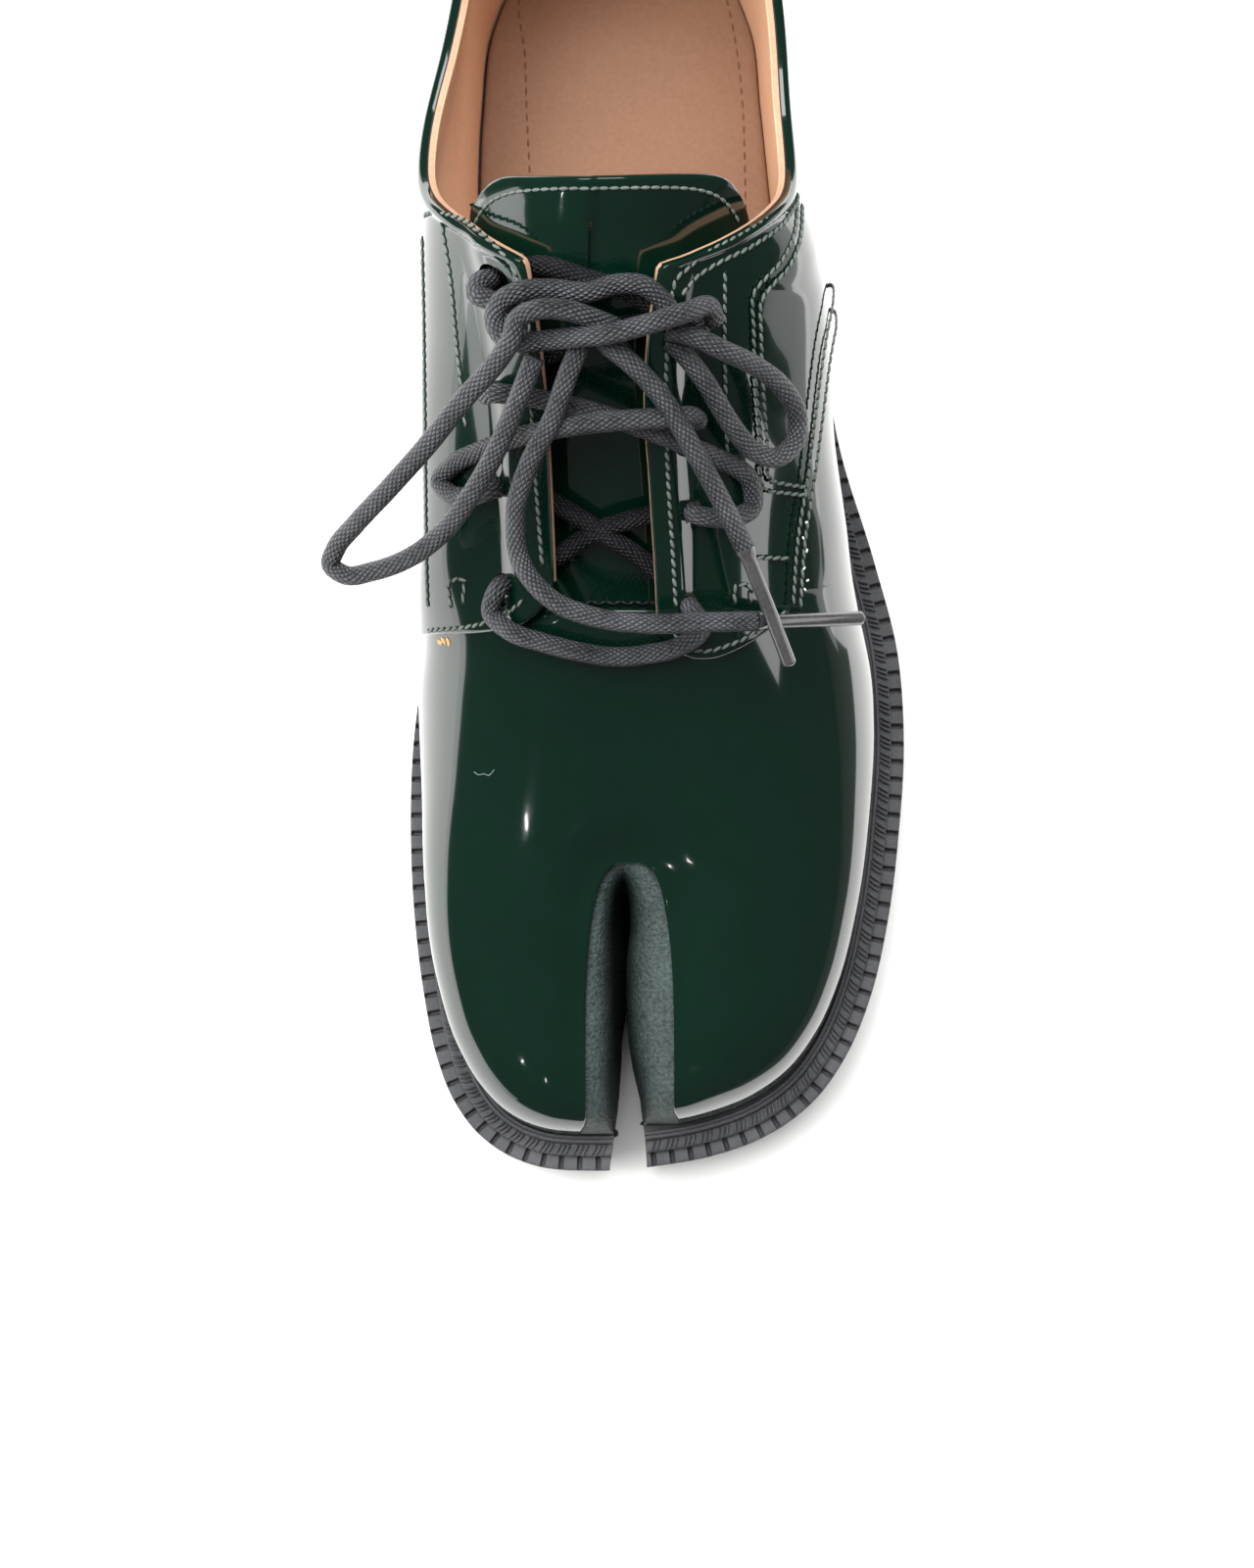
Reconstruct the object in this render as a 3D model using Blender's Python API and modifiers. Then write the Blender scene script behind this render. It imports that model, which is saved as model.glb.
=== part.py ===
"""Left split toe lace-up shoe, standing empty on its sole.

Toe towards -Y, heel towards +Y, lateral side towards +X, floor at Z = 0.
Tables and sizes are in millimetres; "from_toe" is the distance back from the toe tip.
"""
import math

import bmesh
import bpy
import numpy as np
from mathutils import Vector

SHOE_LENGTH = 285.0
WALL = 1.8
QUARTER_STEP = 1.2
FIT_GAP = 0.3
WELT_HEIGHT = 3.0
BLOCK_PITCH = 4.05
BLOCK_NOTCH_WIDTH = 1.0
BLOCK_NOTCH_DEPTH = 2.0
LEDGE_SHARE = 0.38
INSOLE_THICKNESS = 3.0
INSOLE_CLEARANCE = 1.1
INSOLE_TOE_CLEARANCE = 3.0
TONGUE_THICKNESS = 2.6
GUSSET_THICKNESS = 1.2
GUSSET_ROLL = 12.0
EYELET_RADIUS = 2.6
LACE_RADIUS = 2.2
AGLET_RADIUS = 1.45
TOE_FAN = 45.0
HEEL_FAN = 232.0
SLOT_CENTRE = -6.3
SLOT_HALF_WIDTH = 9.3
SLOT_STRAIGHT = 20.0
SLOT_END = 63.5
SLIT_HALF_FRONT = 3.7
SLIT_HALF_BACK = 2.2
SLIT_END = 58.0
SLOT_EDGE_DROP = 3.2
SLOT_EDGE_REACH = 7.0
HEEL_BREAST = 203.0

OUTLINE_COLUMNS = ("from_toe", "medial", "lateral")
OUTLINE_ROWS = (
    (1.0, -26.2, -0.3),
    (3.2, -32.2, 11.8),
    (8.0, -39.0, 24.3),
    (15.0, -44.3, 33.7),
    (25.0, -48.4, 41.0),
    (38.0, -51.3, 46.6),
    (55.0, -53.7, 50.8),
    (75.0, -54.9, 53.6),
    (95.0, -54.5, 55.0),
    (115.0, -52.0, 53.8),
    (135.0, -49.2, 48.7),
    (160.0, -47.6, 40.9),
    (185.0, -46.9, 36.4),
    (210.0, -46.6, 32.0),
    (235.0, -45.7, 29.3),
    (255.0, -43.4, 27.0),
    (270.0, -36.6, 20.2),
    (280.0, -25.5, 9.1),
)
TOE_TIP = (-15.0, 0.0)
HEEL_TIP = (-8.2, SHOE_LENGTH)

LAST_COLUMNS = ("from_toe", "spine_x", "crest_z", "feather_z", "ground_z", "rim",
                "full_medial", "full_lateral", "bow_medial", "bow_lateral")
LAST_ROWS = (
    (0.0, -6.3, 38.0, 24.5, 8.5, 8.0, 2.7, 2.7, 0.4, 0.2),
    (15.0, -6.3, 39.0, 22.4, 4.6, 8.0, 2.7, 2.7, 1.7, 0.2),
    (32.0, -6.3, 42.0, 20.4, 1.4, 8.0, 2.6, 2.6, 4.3, 0.4),
    (48.0, -6.5, 44.5, 18.8, 0.0, 8.0, 2.5, 2.4, 5.7, 0.5),
    (64.0, -6.9, 48.0, 18.2, 0.0, 8.0, 2.4, 2.3, 5.8, 0.6),
    (85.0, -8.3, 56.0, 18.0, 0.0, 8.0, 2.3, 2.2, 6.0, 0.5),
    (107.0, -10.6, 66.5, 18.2, 0.0, 8.0, 2.3, 2.2, 8.7, 0.6),
    (120.0, -11.2, 73.5, 19.2, 0.0, 7.8, 2.3, 2.2, 12.1, 1.5),
    (135.0, -12.0, 83.0, 21.2, 3.2, 7.4, 2.3, 2.2, 12.8, 4.2),
    (150.0, -12.9, 93.5, 23.8, 8.0, 6.8, 2.3, 2.2, 13.2, 6.4),
    (167.0, -13.1, 106.5, 27.2, 13.2, 6.2, 2.3, 2.2, 12.4, 9.2),
    (190.0, -12.5, 121.0, 31.2, 18.6, 5.6, 2.4, 2.3, 11.8, 8.6),
    (210.0, -10.5, 126.0, 33.4, 21.6, 5.2, 2.4, 2.3, 12.2, 8.2),
    (235.0, -8.5, 128.0, 34.8, 23.2, 5.0, 2.4, 2.4, 8.0, 7.2),
    (255.0, -8.2, 128.0, 35.4, 23.8, 5.0, 2.4, 2.4, 5.2, 5.2),
    (285.0, -8.2, 128.0, 36.0, 24.2, 5.0, 2.4, 2.4, 4.8, 4.8),
)

TOPLINE_COLUMNS = ("from_toe", "height")
TOPLINE_ROWS = ((100.0, 160.0), (160.0, 118.0), (166.0, 111.0), (172.0, 106.5), (179.0, 102.0),
                (186.0, 96.5), (192.0, 91.0), (198.0, 86.5), (207.0, 83.0), (220.0, 82.5),
                (235.0, 84.5), (255.0, 89.5), (270.0, 93.0), (286.0, 94.5))

THROAT_COLUMNS = ("from_toe", "half_gap")
THROAT_ROWS = ((100.0, 10.0), (118.0, 9.7), (135.0, 9.3), (150.0, 9.1), (166.0, 10.8), (180.0, 14.0))

# Front edge of each quarter: share of the girth from welt to throat, then distance from the toe.
QUARTER_EDGE_COLUMNS = ("girth", "medial", "lateral", "lateral_step")
QUARTER_EDGE_ROWS = (
    (0.00, 117.0, 128.0, 0.0),
    (0.30, 113.0, 124.0, 0.0),
    (0.50, 111.3, 119.0, 0.0),
    (0.62, 110.2, 114.3, 0.8),
    (0.71, 109.8, 109.4, 1.0),
    (0.81, 110.1, 105.1, 1.0),
    (0.88, 111.0, 103.3, 1.0),
    (0.95, 113.8, 104.2, 1.0),
    (1.00, 118.0, 108.0, 1.0),
)

EYELET_COLUMNS = ("medial_from_toe", "medial_across", "lateral_from_toe", "lateral_across")
EYELET_ROWS = (
    (118.4, 20.0, 113.4, 16.2),
    (136.0, 20.2, 130.5, 17.6),
    (152.6, 19.8, 146.8, 18.7),
    (167.0, 21.0, 163.0, 20.0),
)

MEDIAL = -1
LATERAL = 1
MM = 0.001


def smooth(position, stations, values):
    """Cubic Hermite curve through a table column, flat beyond its ends."""
    x = np.asarray(stations, float)
    y = np.asarray(values, float)
    p = np.clip(np.asarray(position, float), x[0], x[-1])
    step = np.diff(x)
    rise = np.diff(y) / step
    slope = np.concatenate(([rise[0]], (rise[:-1] * step[1:] + rise[1:] * step[:-1])
                            / (step[:-1] + step[1:]), [rise[-1]]))
    k = np.clip(np.searchsorted(x, p, side="right") - 1, 0, len(x) - 2)
    u = (p - x[k]) / step[k]
    return ((2 * u**3 - 3 * u**2 + 1) * y[k] + (u**3 - 2 * u**2 + u) * step[k] * slope[k]
            + (3 * u**2 - 2 * u**3) * y[k + 1] + (u**3 - u**2) * step[k] * slope[k + 1])


def table(rows, columns, name, position):
    data = np.asarray(rows, float)
    return smooth(position, data[:, 0], data[:, columns.index(name)])


def last(name, from_toe):
    return table(LAST_ROWS, LAST_COLUMNS, name, from_toe)


def sided(name, side):
    return name + ("_medial" if side == MEDIAL else "_lateral")


def dense_outline():
    """Sole outline from the toe tip by the medial side to the heel and back, 1600 points."""
    data = np.asarray(OUTLINE_ROWS, float)
    medial = np.column_stack((data[:, 1], data[:, 0]))
    lateral = np.column_stack((data[:, 2], data[:, 0]))[::-1]
    knots = np.vstack(([TOE_TIP], medial, [HEEL_TIP], lateral))
    ring = np.vstack((knots[-3:], knots, knots[:4]))
    chord = np.concatenate(([0.0], np.cumsum(np.hypot(*np.diff(ring, axis=0).T))))
    start = chord[3]
    end = chord[3 + len(knots)]
    along = np.linspace(start, end, 1600, endpoint=False)
    return np.column_stack((smooth(along, chord, ring[:, 0]), smooth(along, chord, ring[:, 1])))


def outward(loop):
    """Unit normals that point away from the foot."""
    tangent = np.roll(loop, -4, axis=0) - np.roll(loop, 4, axis=0)
    tangent /= np.hypot(tangent[:, 0], tangent[:, 1])[:, None]
    return np.column_stack((tangent[:, 1], -tangent[:, 0])) * OUTLINE_TURN


OUTLINE = dense_outline()
AREA = 0.5 * np.sum(OUTLINE[:, 0] * np.roll(OUTLINE[:, 1], -1) - np.roll(OUTLINE[:, 0], -1) * OUTLINE[:, 1])
OUTLINE_TURN = 1.0 if AREA > 0 else -1.0
OUTLINE_NORMAL = outward(OUTLINE)
RIM = last("rim", OUTLINE[:, 1])
FEATHER = OUTLINE - OUTLINE_NORMAL * RIM[:, None]
HEEL_INDEX = int(np.argmax(OUTLINE[:, 1]))


def half(loop, side):
    """One side of a loop, from the toe tip to the back of the heel."""
    if side == MEDIAL:
        return loop[:HEEL_INDEX + 1]
    return np.vstack((loop[:1], loop[:HEEL_INDEX - 1:-1]))


def foot_at(side, from_toe):
    """Feather line point of one side at a distance from the toe, between the two fans."""
    line = half(FEATHER, side)
    middle = (line[:, 1] > 20.0) & (line[:, 1] < 262.0)
    line = line[middle]
    return np.array([np.interp(from_toe, line[:, 1], line[:, 0]), from_toe])


def spine_station(from_toe):
    """Where the rib of a feather point meets the spine: ribs fan out at the toe and the heel."""
    toe = 5.0 * np.log1p(np.exp((TOE_FAN - from_toe) / 5.0))
    heel = 5.0 * np.log1p(np.exp((from_toe - HEEL_FAN) / 5.0))
    return from_toe + 0.7 * toe - 0.75 * heel


def slot_half_width(from_toe):
    """Half width of the split at the vamp: straight sides and a rounded back end."""
    u = np.clip((from_toe - SLOT_STRAIGHT) / (SLOT_END - SLOT_STRAIGHT), 0.0, 1.0)
    return SLOT_HALF_WIDTH * (1.0 - u**3) ** (1.0 / 3.0)


def slit_half_width(from_toe):
    """Half width of the split at the sole."""
    u = np.clip(from_toe / SLIT_END, 0.0, 1.0)
    return (SLIT_HALF_FRONT + (SLIT_HALF_BACK - SLIT_HALF_FRONT) * u) * (1.0 - u**12) ** 0.5


def ground_z(from_toe):
    """Underside of the outsole, flat on the floor under the ball."""
    return np.maximum(last("ground_z", from_toe), 0.0)


def seat_z(from_toe):
    """Top of the outsole under the upper."""
    return last("feather_z", from_toe) - WELT_HEIGHT


def ease(low, high, value):
    """Smooth step from 0 at low to 1 at high."""
    u = np.clip((value - low) / (high - low), 0.0, 1.0)
    return u * u * (3.0 - 2.0 * u)


def bow_shape(from_toe, angle):
    """Share of the bow along a rib: a full wall just above the welt on the vamp, a leaning one on the instep."""
    full = ease(0.03, 0.30, angle) * (1.0 - ease(0.30, 1.25, angle))
    leaning = 1.5 * (np.sin(2.0 * angle) * np.cos(angle)) ** 2
    return full + (leaning - full) * ease(100.0, 128.0, from_toe)


def rib(side, foot, angle):
    """Outer face of the last along one rib: a superellipse from the feather line to the spine.

    The bow pushes the wall out and the face rolls down beside the split.
    """
    at = foot[1]
    station = spine_station(at)
    top = last("crest_z", station)
    spine = np.array([last("spine_x", station), station])
    power = 2.0 / last(sided("full", side), at)
    base = seat_z(at) + FIT_GAP
    run = spine - foot
    reach = np.hypot(run[0], run[1])
    inward = reach * (1.0 - np.abs(np.cos(angle)) ** power)
    inward = inward - last(sided("bow", side), at) * bow_shape(at, angle)
    x = foot[0] + run[0] / reach * inward
    y = foot[1] + run[1] / reach * inward
    z = base + (top - base) * np.sin(angle) ** power
    beside = np.hypot(x - SLOT_CENTRE, np.maximum(y - SLOT_END + SLOT_HALF_WIDTH, 0.0)) - SLOT_HALF_WIDTH
    sink = SLOT_EDGE_DROP * np.exp(-(np.maximum(beside, 0.0) / SLOT_EDGE_REACH) ** 2) * np.sin(angle) ** 2
    return np.column_stack((x, y, z - sink))


SWEEP = np.linspace(0.0, math.pi / 2.0, 721)


def first_angle(reached):
    hits = np.nonzero(reached)[0]
    return SWEEP[hits[0]] if len(hits) else math.pi / 2.0


def slot_angle(side, foot):
    """Angle at which a rib meets the edge of the split."""
    p = rib(side, foot, SWEEP)
    inside = (np.abs(p[:, 0] - SLOT_CENTRE) < slot_half_width(p[:, 1])) & (p[:, 1] < SLOT_END)
    return first_angle(inside)


def gap_angle(side, foot):
    """Angle at which a rib meets the throat edge beside the spine."""
    p = rib(side, foot, SWEEP)
    gap = table(THROAT_ROWS, THROAT_COLUMNS, "half_gap", p[:, 1])
    beside = np.abs(p[:, 0] - last("spine_x", p[:, 1])) < gap
    return first_angle(beside & (p[:, 1] < THROAT_ROWS[-1][0]))


def topline_angle(side, foot):
    p = rib(side, foot, SWEEP)
    return first_angle(p[:, 2] > table(TOPLINE_ROWS, TOPLINE_COLUMNS, "height", p[:, 1]))


def edge_station(side, girth):
    name = "medial" if side == MEDIAL else "lateral"
    return table(QUARTER_EDGE_ROWS, QUARTER_EDGE_COLUMNS, name, girth)


def surface(side, from_toe, angle):
    """One point of the last's outer face between the fans."""
    return rib(side, foot_at(side, from_toe), np.array([angle]))[0]


def across_angle(side, from_toe, across):
    """Angle of the point that lies a given distance beside the spine."""
    p = rib(side, foot_at(side, from_toe), SWEEP)
    return first_angle(np.abs(p[:, 0] - last("spine_x", from_toe)) < across)


def face_normal(side, from_toe, angle):
    a = Vector(surface(side, from_toe + 1.0, angle)) - Vector(surface(side, from_toe - 1.0, angle))
    b = Vector(surface(side, from_toe, angle + 0.02)) - Vector(surface(side, from_toe, angle - 0.02))
    n = a.cross(b).normalized()
    return n if n.z > 0 else -n


def new_collection(name):
    collection = bpy.data.collections.new(name)
    bpy.context.scene.collection.children.link(collection)
    return collection


for leftover in list(bpy.data.objects):
    bpy.data.objects.remove(leftover, do_unlink=True)
SHOE = new_collection("split_toe_lace_up_shoe")
CUTTERS = new_collection("cutters")


def material(name, colour, roughness, metallic=0.0):
    made = bpy.data.materials.new(name)
    made.use_nodes = True
    shader = made.node_tree.nodes["Principled BSDF"]
    shader.inputs["Base Color"].default_value = (*colour, 1.0)
    shader.inputs["Roughness"].default_value = roughness
    shader.inputs["Metallic"].default_value = metallic
    return made


def add_object(name, mesh, collection=SHOE, skin=None):
    made = bpy.data.objects.new(name, mesh)
    collection.objects.link(made)
    if skin is not None:
        mesh.materials.clear()
        mesh.materials.append(skin)
    if collection is CUTTERS:
        made.hide_render = True
        made.display_type = "WIRE"
    return made


def to_frame(points):
    """Millimetres from the toe tip to metres about the middle of the shoe."""
    p = np.asarray(points, float)
    return (p - np.array([0.0, SHOE_LENGTH / 2.0, 0.0])) * MM


def mesh_from(name, points, faces):
    mesh = bpy.data.meshes.new(name)
    mesh.from_pydata(to_frame(points).tolist(), [], faces)
    tidy = bmesh.new()
    tidy.from_mesh(mesh)
    bmesh.ops.remove_doubles(tidy, verts=tidy.verts, dist=1e-6)
    bmesh.ops.recalc_face_normals(tidy, faces=tidy.faces)
    tidy.to_mesh(mesh)
    tidy.free()
    return mesh


def baked(source):
    """Mesh of an object with its modifiers applied; the object is removed."""
    bpy.context.view_layer.update()
    graph = bpy.context.evaluated_depsgraph_get()
    mesh = bpy.data.meshes.new_from_object(source.evaluated_get(graph))
    bpy.data.objects.remove(source, do_unlink=True)
    return mesh


def cut(target, cutter):
    modifier = target.modifiers.new("cut_" + cutter.name, "BOOLEAN")
    modifier.operation = "DIFFERENCE"
    modifier.solver = "EXACT"
    modifier.object = cutter


def grid_faces(rows, columns, close_rows=False):
    """Quads of a grid of rows by columns of points, row after row."""
    faces = []
    for r in range(rows if close_rows else rows - 1):
        below = (r + 1) % rows
        for c in range(columns - 1):
            faces.append((r * columns + c, r * columns + c + 1, below * columns + c + 1, below * columns + c))
    return faces


PATENT = material("green_patent_leather", (0.010, 0.040, 0.026), 0.12)
GUSSET_LEATHER = material("grey_green_leather", (0.085, 0.125, 0.115), 0.55)
TAN = material("tan_leather", (0.50, 0.27, 0.15), 0.6)
RUBBER = material("black_rubber", (0.060, 0.062, 0.066), 0.6)
CORD = material("waxed_charcoal_cord", (0.075, 0.072, 0.076), 0.65)
AGLET = material("grey_plastic_tip", (0.12, 0.125, 0.13), 0.25)

# Upper: two sheets of ribs that share the spine and the heel, thickened into a hollow wall.
WALL_SHARES = (0.0, 0.055, 0.15, 0.28, 0.41, 0.53, 0.64, 0.74, 0.84, 0.92, 1.0)
WALL_ROWS = len(WALL_SHARES)
WELT_LINE = 0.1
BRIDGE_ROWS = 3
TOE_RIBS = 9
TOE_CORNER = 0.9
SLOT_STATIONS = (52.0, 56.5, 60.0, 62.6)
VAMP_STATIONS = (63.6, 68.5, 77.0, 89.0)
VAMP_LEAD = (0.35, 0.7)
QUARTER_STATIONS = (0.12, 0.3, 0.5, 0.72)
REAR_STATIONS = (159.5, 165.0, 169.0, 173.0, 177.0, 181.0, 185.5, 190.5, 197.0, 206.0, 217.0, 230.0)
HEEL_RIBS = 8


def toe_feet(side):
    """Feather points from the corner of the split round to its last stations."""
    line = half(FEATHER, side)
    clear = np.abs(line[:, 0] - SLOT_CENTRE) > SLOT_HALF_WIDTH + TOE_CORNER
    line = line[clear & (line[:, 1] < SLOT_STATIONS[0] - 3.0)]
    length = np.concatenate(([0.0], np.cumsum(np.hypot(*np.diff(line, axis=0).T))))
    want = np.linspace(0.0, 1.0, TOE_RIBS) ** 1.5 * length[-1]
    round_toe = [np.array([np.interp(w, length, line[:, 0]), np.interp(w, length, line[:, 1])]) for w in want]
    return round_toe + [foot_at(side, station) for station in SLOT_STATIONS]


def heel_feet(side):
    line = half(FEATHER, side)
    line = line[line[:, 1] > 242.0]
    length = np.concatenate(([0.0], np.cumsum(np.hypot(*np.diff(line, axis=0).T))))
    want = np.linspace(0.0, 1.0, HEEL_RIBS) * length[-1]
    return [np.array([np.interp(w, length, line[:, 0]), np.interp(w, length, line[:, 1])]) for w in want]


def straight_rib(side, foot, low, high):
    """Points of one rib: wall rows up to the first angle, bridge rows on to the second."""
    rows = np.concatenate((np.asarray(WALL_SHARES) * low,
                           low + (high - low) * np.linspace(0.0, 1.0, BRIDGE_ROWS + 1)[1:]))
    return rib(side, foot, rows)


def warped_rib(side, lead, place, bridged):
    """A rib that leans over to follow the quarter's front edge."""
    points = []
    for share in WALL_SHARES:
        station = place(edge_station(side, share), lead)
        low = gap_angle(side, foot_at(side, station))
        points.append(surface(side, station, low * share))
    top = place(edge_station(side, 1.0), lead)
    low = gap_angle(side, foot_at(side, top))
    for share in np.linspace(0.0, 1.0, BRIDGE_ROWS + 1)[1:]:
        angle = low + (math.pi / 2.0 - low) * (share if bridged else 0.0)
        station = top
        if bridged:
            middle = place(0.5 * (edge_station(MEDIAL, 1.0) + edge_station(LATERAL, 1.0)), lead)
            station = top + (middle - top) * share
        points.append(surface(side, station, angle))
    return np.asarray(points)


def before_edge(edge, lead):
    return VAMP_STATIONS[-1] + (edge - VAMP_STATIONS[-1]) * lead


def behind_edge(edge, lead):
    return edge + 0.2 + (154.0 - edge) * lead


def step_share(side, share):
    """Height of the quarter's step: none behind the welt, faded out along the lateral side seam."""
    if share < WELT_LINE:
        return 0.0
    if side == MEDIAL:
        return 1.0
    return float(table(QUARTER_EDGE_ROWS, QUARTER_EDGE_COLUMNS, "lateral_step", share))


def upper_sheet(side):
    """Columns of points of one side with a flag for bridge rows and the step of each wall row."""
    columns = []
    for foot in toe_feet(side):
        angle = slot_angle(side, foot)
        near = gap_angle(side, foot)
        bridged = foot[1] > SLOT_STATIONS[1] - 1.0 and angle > near + 0.05
        columns.append((straight_rib(side, foot, near if bridged else angle, angle), bridged, 0.0))
    for station in VAMP_STATIONS:
        foot = foot_at(side, station)
        columns.append((straight_rib(side, foot, gap_angle(side, foot), math.pi / 2.0), True, 0.0))
    for lead in VAMP_LEAD + (1.0,):
        columns.append((warped_rib(side, lead, before_edge, True), True, 0.0))
    for lead in (0.0,) + QUARTER_STATIONS:
        columns.append((warped_rib(side, lead, behind_edge, False), False, 1.0))
    feet = [foot_at(side, station) for station in REAR_STATIONS] + heel_feet(side)
    for foot in feet:
        angle = min(gap_angle(side, foot), topline_angle(side, foot))
        columns.append((straight_rib(side, foot, angle, angle), False, 1.0))
    return columns


def upper_mesh():
    points = []
    steps = []
    index = {}
    faces = []

    def vertex(point, step):
        key = tuple(np.round(point + 0.0013, 2))
        if key not in index:
            index[key] = len(points)
            points.append(point)
            steps.append(step)
        return index[key]

    for side in (MEDIAL, LATERAL):
        grid = []
        for column, bridged, stepped in upper_sheet(side):
            raised = [stepped * step_share(side, share) for share in WALL_SHARES] + [0.0] * BRIDGE_ROWS
            ids = [vertex(p, s) for p, s in zip(column, raised)]
            grid.append((ids, bridged))
        for (left, left_bridged), (right, right_bridged) in zip(grid, grid[1:]):
            top = WALL_ROWS + BRIDGE_ROWS - 1
            if not (left_bridged and right_bridged):
                top = WALL_ROWS - 1
            if right_bridged and not left_bridged:
                fan = [left[WALL_ROWS - 1]] + right[WALL_ROWS - 1:]
                for p, q in zip(fan[1:], fan[2:]):
                    faces.append((fan[0], p, q) if side == MEDIAL else (fan[0], q, p))
            for r in range(top):
                quad = [left[r], right[r], right[r + 1], left[r + 1]]
                corners = list(dict.fromkeys(quad))
                if len(corners) > 2:
                    faces.append(tuple(corners if side == MEDIAL else corners[::-1]))
    mesh = bpy.data.meshes.new("upper_face")
    mesh.from_pydata(to_frame(points).tolist(), [], faces)
    mesh.validate()
    return mesh, np.asarray(steps)


def make_upper():
    mesh, steps = upper_mesh()
    count = len(mesh.vertices)
    shaping = bmesh.new()
    shaping.from_mesh(mesh)
    bmesh.ops.recalc_face_normals(shaping, faces=shaping.faces)
    tallest = max(shaping.faces, key=lambda f: f.calc_center_median().z)
    if tallest.normal.z < 0:
        bmesh.ops.reverse_faces(shaping, faces=shaping.faces)
    shaping.to_mesh(mesh)
    shaping.free()
    mesh.update()
    normals = [v.normal.copy() for v in mesh.vertices]
    face = add_object("upper_face", mesh)
    split = face.modifiers.new("facets", "TRIANGULATE")
    split.quad_method = "SHORTEST_DIAGONAL"
    shell = face.modifiers.new("wall", "SOLIDIFY")
    shell.thickness = WALL * MM
    shell.offset = -1.0
    shell.use_even_offset = True
    solid = baked(face)
    for i in range(count):
        solid.vertices[i].co += normals[i] * float(steps[i]) * QUARTER_STEP * MM
    solid.update()
    upper = add_object("upper", solid, skin=PATENT)
    for side, name, station_name, across_name in (
            (MEDIAL, "medial", "medial_from_toe", "medial_across"),
            (LATERAL, "lateral", "lateral_from_toe", "lateral_across")):
        for number, row in enumerate(EYELET_ROWS, 1):
            station = row[EYELET_COLUMNS.index(station_name)]
            angle = across_angle(side, station, row[EYELET_COLUMNS.index(across_name)])
            normal = face_normal(side, station, angle)
            centre = Vector(to_frame(surface(side, station, angle)))
            punch = bmesh.new()
            bmesh.ops.create_cone(punch, cap_ends=True, segments=8, radius1=EYELET_RADIUS * MM,
                                  radius2=EYELET_RADIUS * MM, depth=10.0 * MM)
            turn = normal.to_track_quat("Z", "Y").to_matrix().to_4x4()
            turn.translation = centre
            bmesh.ops.transform(punch, matrix=turn, verts=punch.verts)
            hole = bpy.data.meshes.new("punch")
            punch.to_mesh(hole)
            punch.free()
            cut(upper, add_object(f"eyelet_punch_{name}_{number}", hole, CUTTERS))
    return upper


UPPER = make_upper()

# Slot cutter for the sole: the slit's plan run straight down through it.
SLIT_SHARES = (0.0, 0.2, 0.4, 0.6, 0.75, 0.85, 0.92, 0.96, 0.985, 1.0)


def slit_prism(name, grow, low, high):
    """Prism of the slit's plan, widened all round by a clearance."""
    back = np.asarray(SLIT_SHARES) * SLIT_END
    right = [(SLOT_CENTRE + slit_half_width(t) + grow, t) for t in back[:-1]]
    tip = [(SLOT_CENTRE, SLIT_END + grow)]
    left = [(SLOT_CENTRE - slit_half_width(t) - grow, t) for t in back[-2::-1]]
    plan = [(right[0][0], -20.0)] + right + tip + left + [(left[-1][0], -20.0)]
    n = len(plan)
    points = [(x, t, low) for x, t in plan] + [(x, t, high) for x, t in plan]
    faces = [tuple(range(n)), tuple(range(2 * n - 1, n - 1, -1))]
    faces += [(i, (i + 1) % n, n + (i + 1) % n, n + i) for i in range(n)]
    return add_object(name, mesh_from(name, points, faces), CUTTERS)


SOLE_SLIT = slit_prism("sole_slit", 0.0, -20.0, 60.0)
INSOLE_SLIT = slit_prism("insole_slit", GUSSET_THICKNESS + 4.0 * FIT_GAP, -20.0, 60.0)


def inset(distance):
    return OUTLINE - OUTLINE_NORMAL * np.broadcast_to(distance, (len(OUTLINE),))[:, None]


# Outsole: a slab whose upper edge is notched into blocks, sprung at the toe and arched at the waist.
# The notches run out to nothing at the floor.
LEDGE = LEDGE_SHARE * RIM


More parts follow.
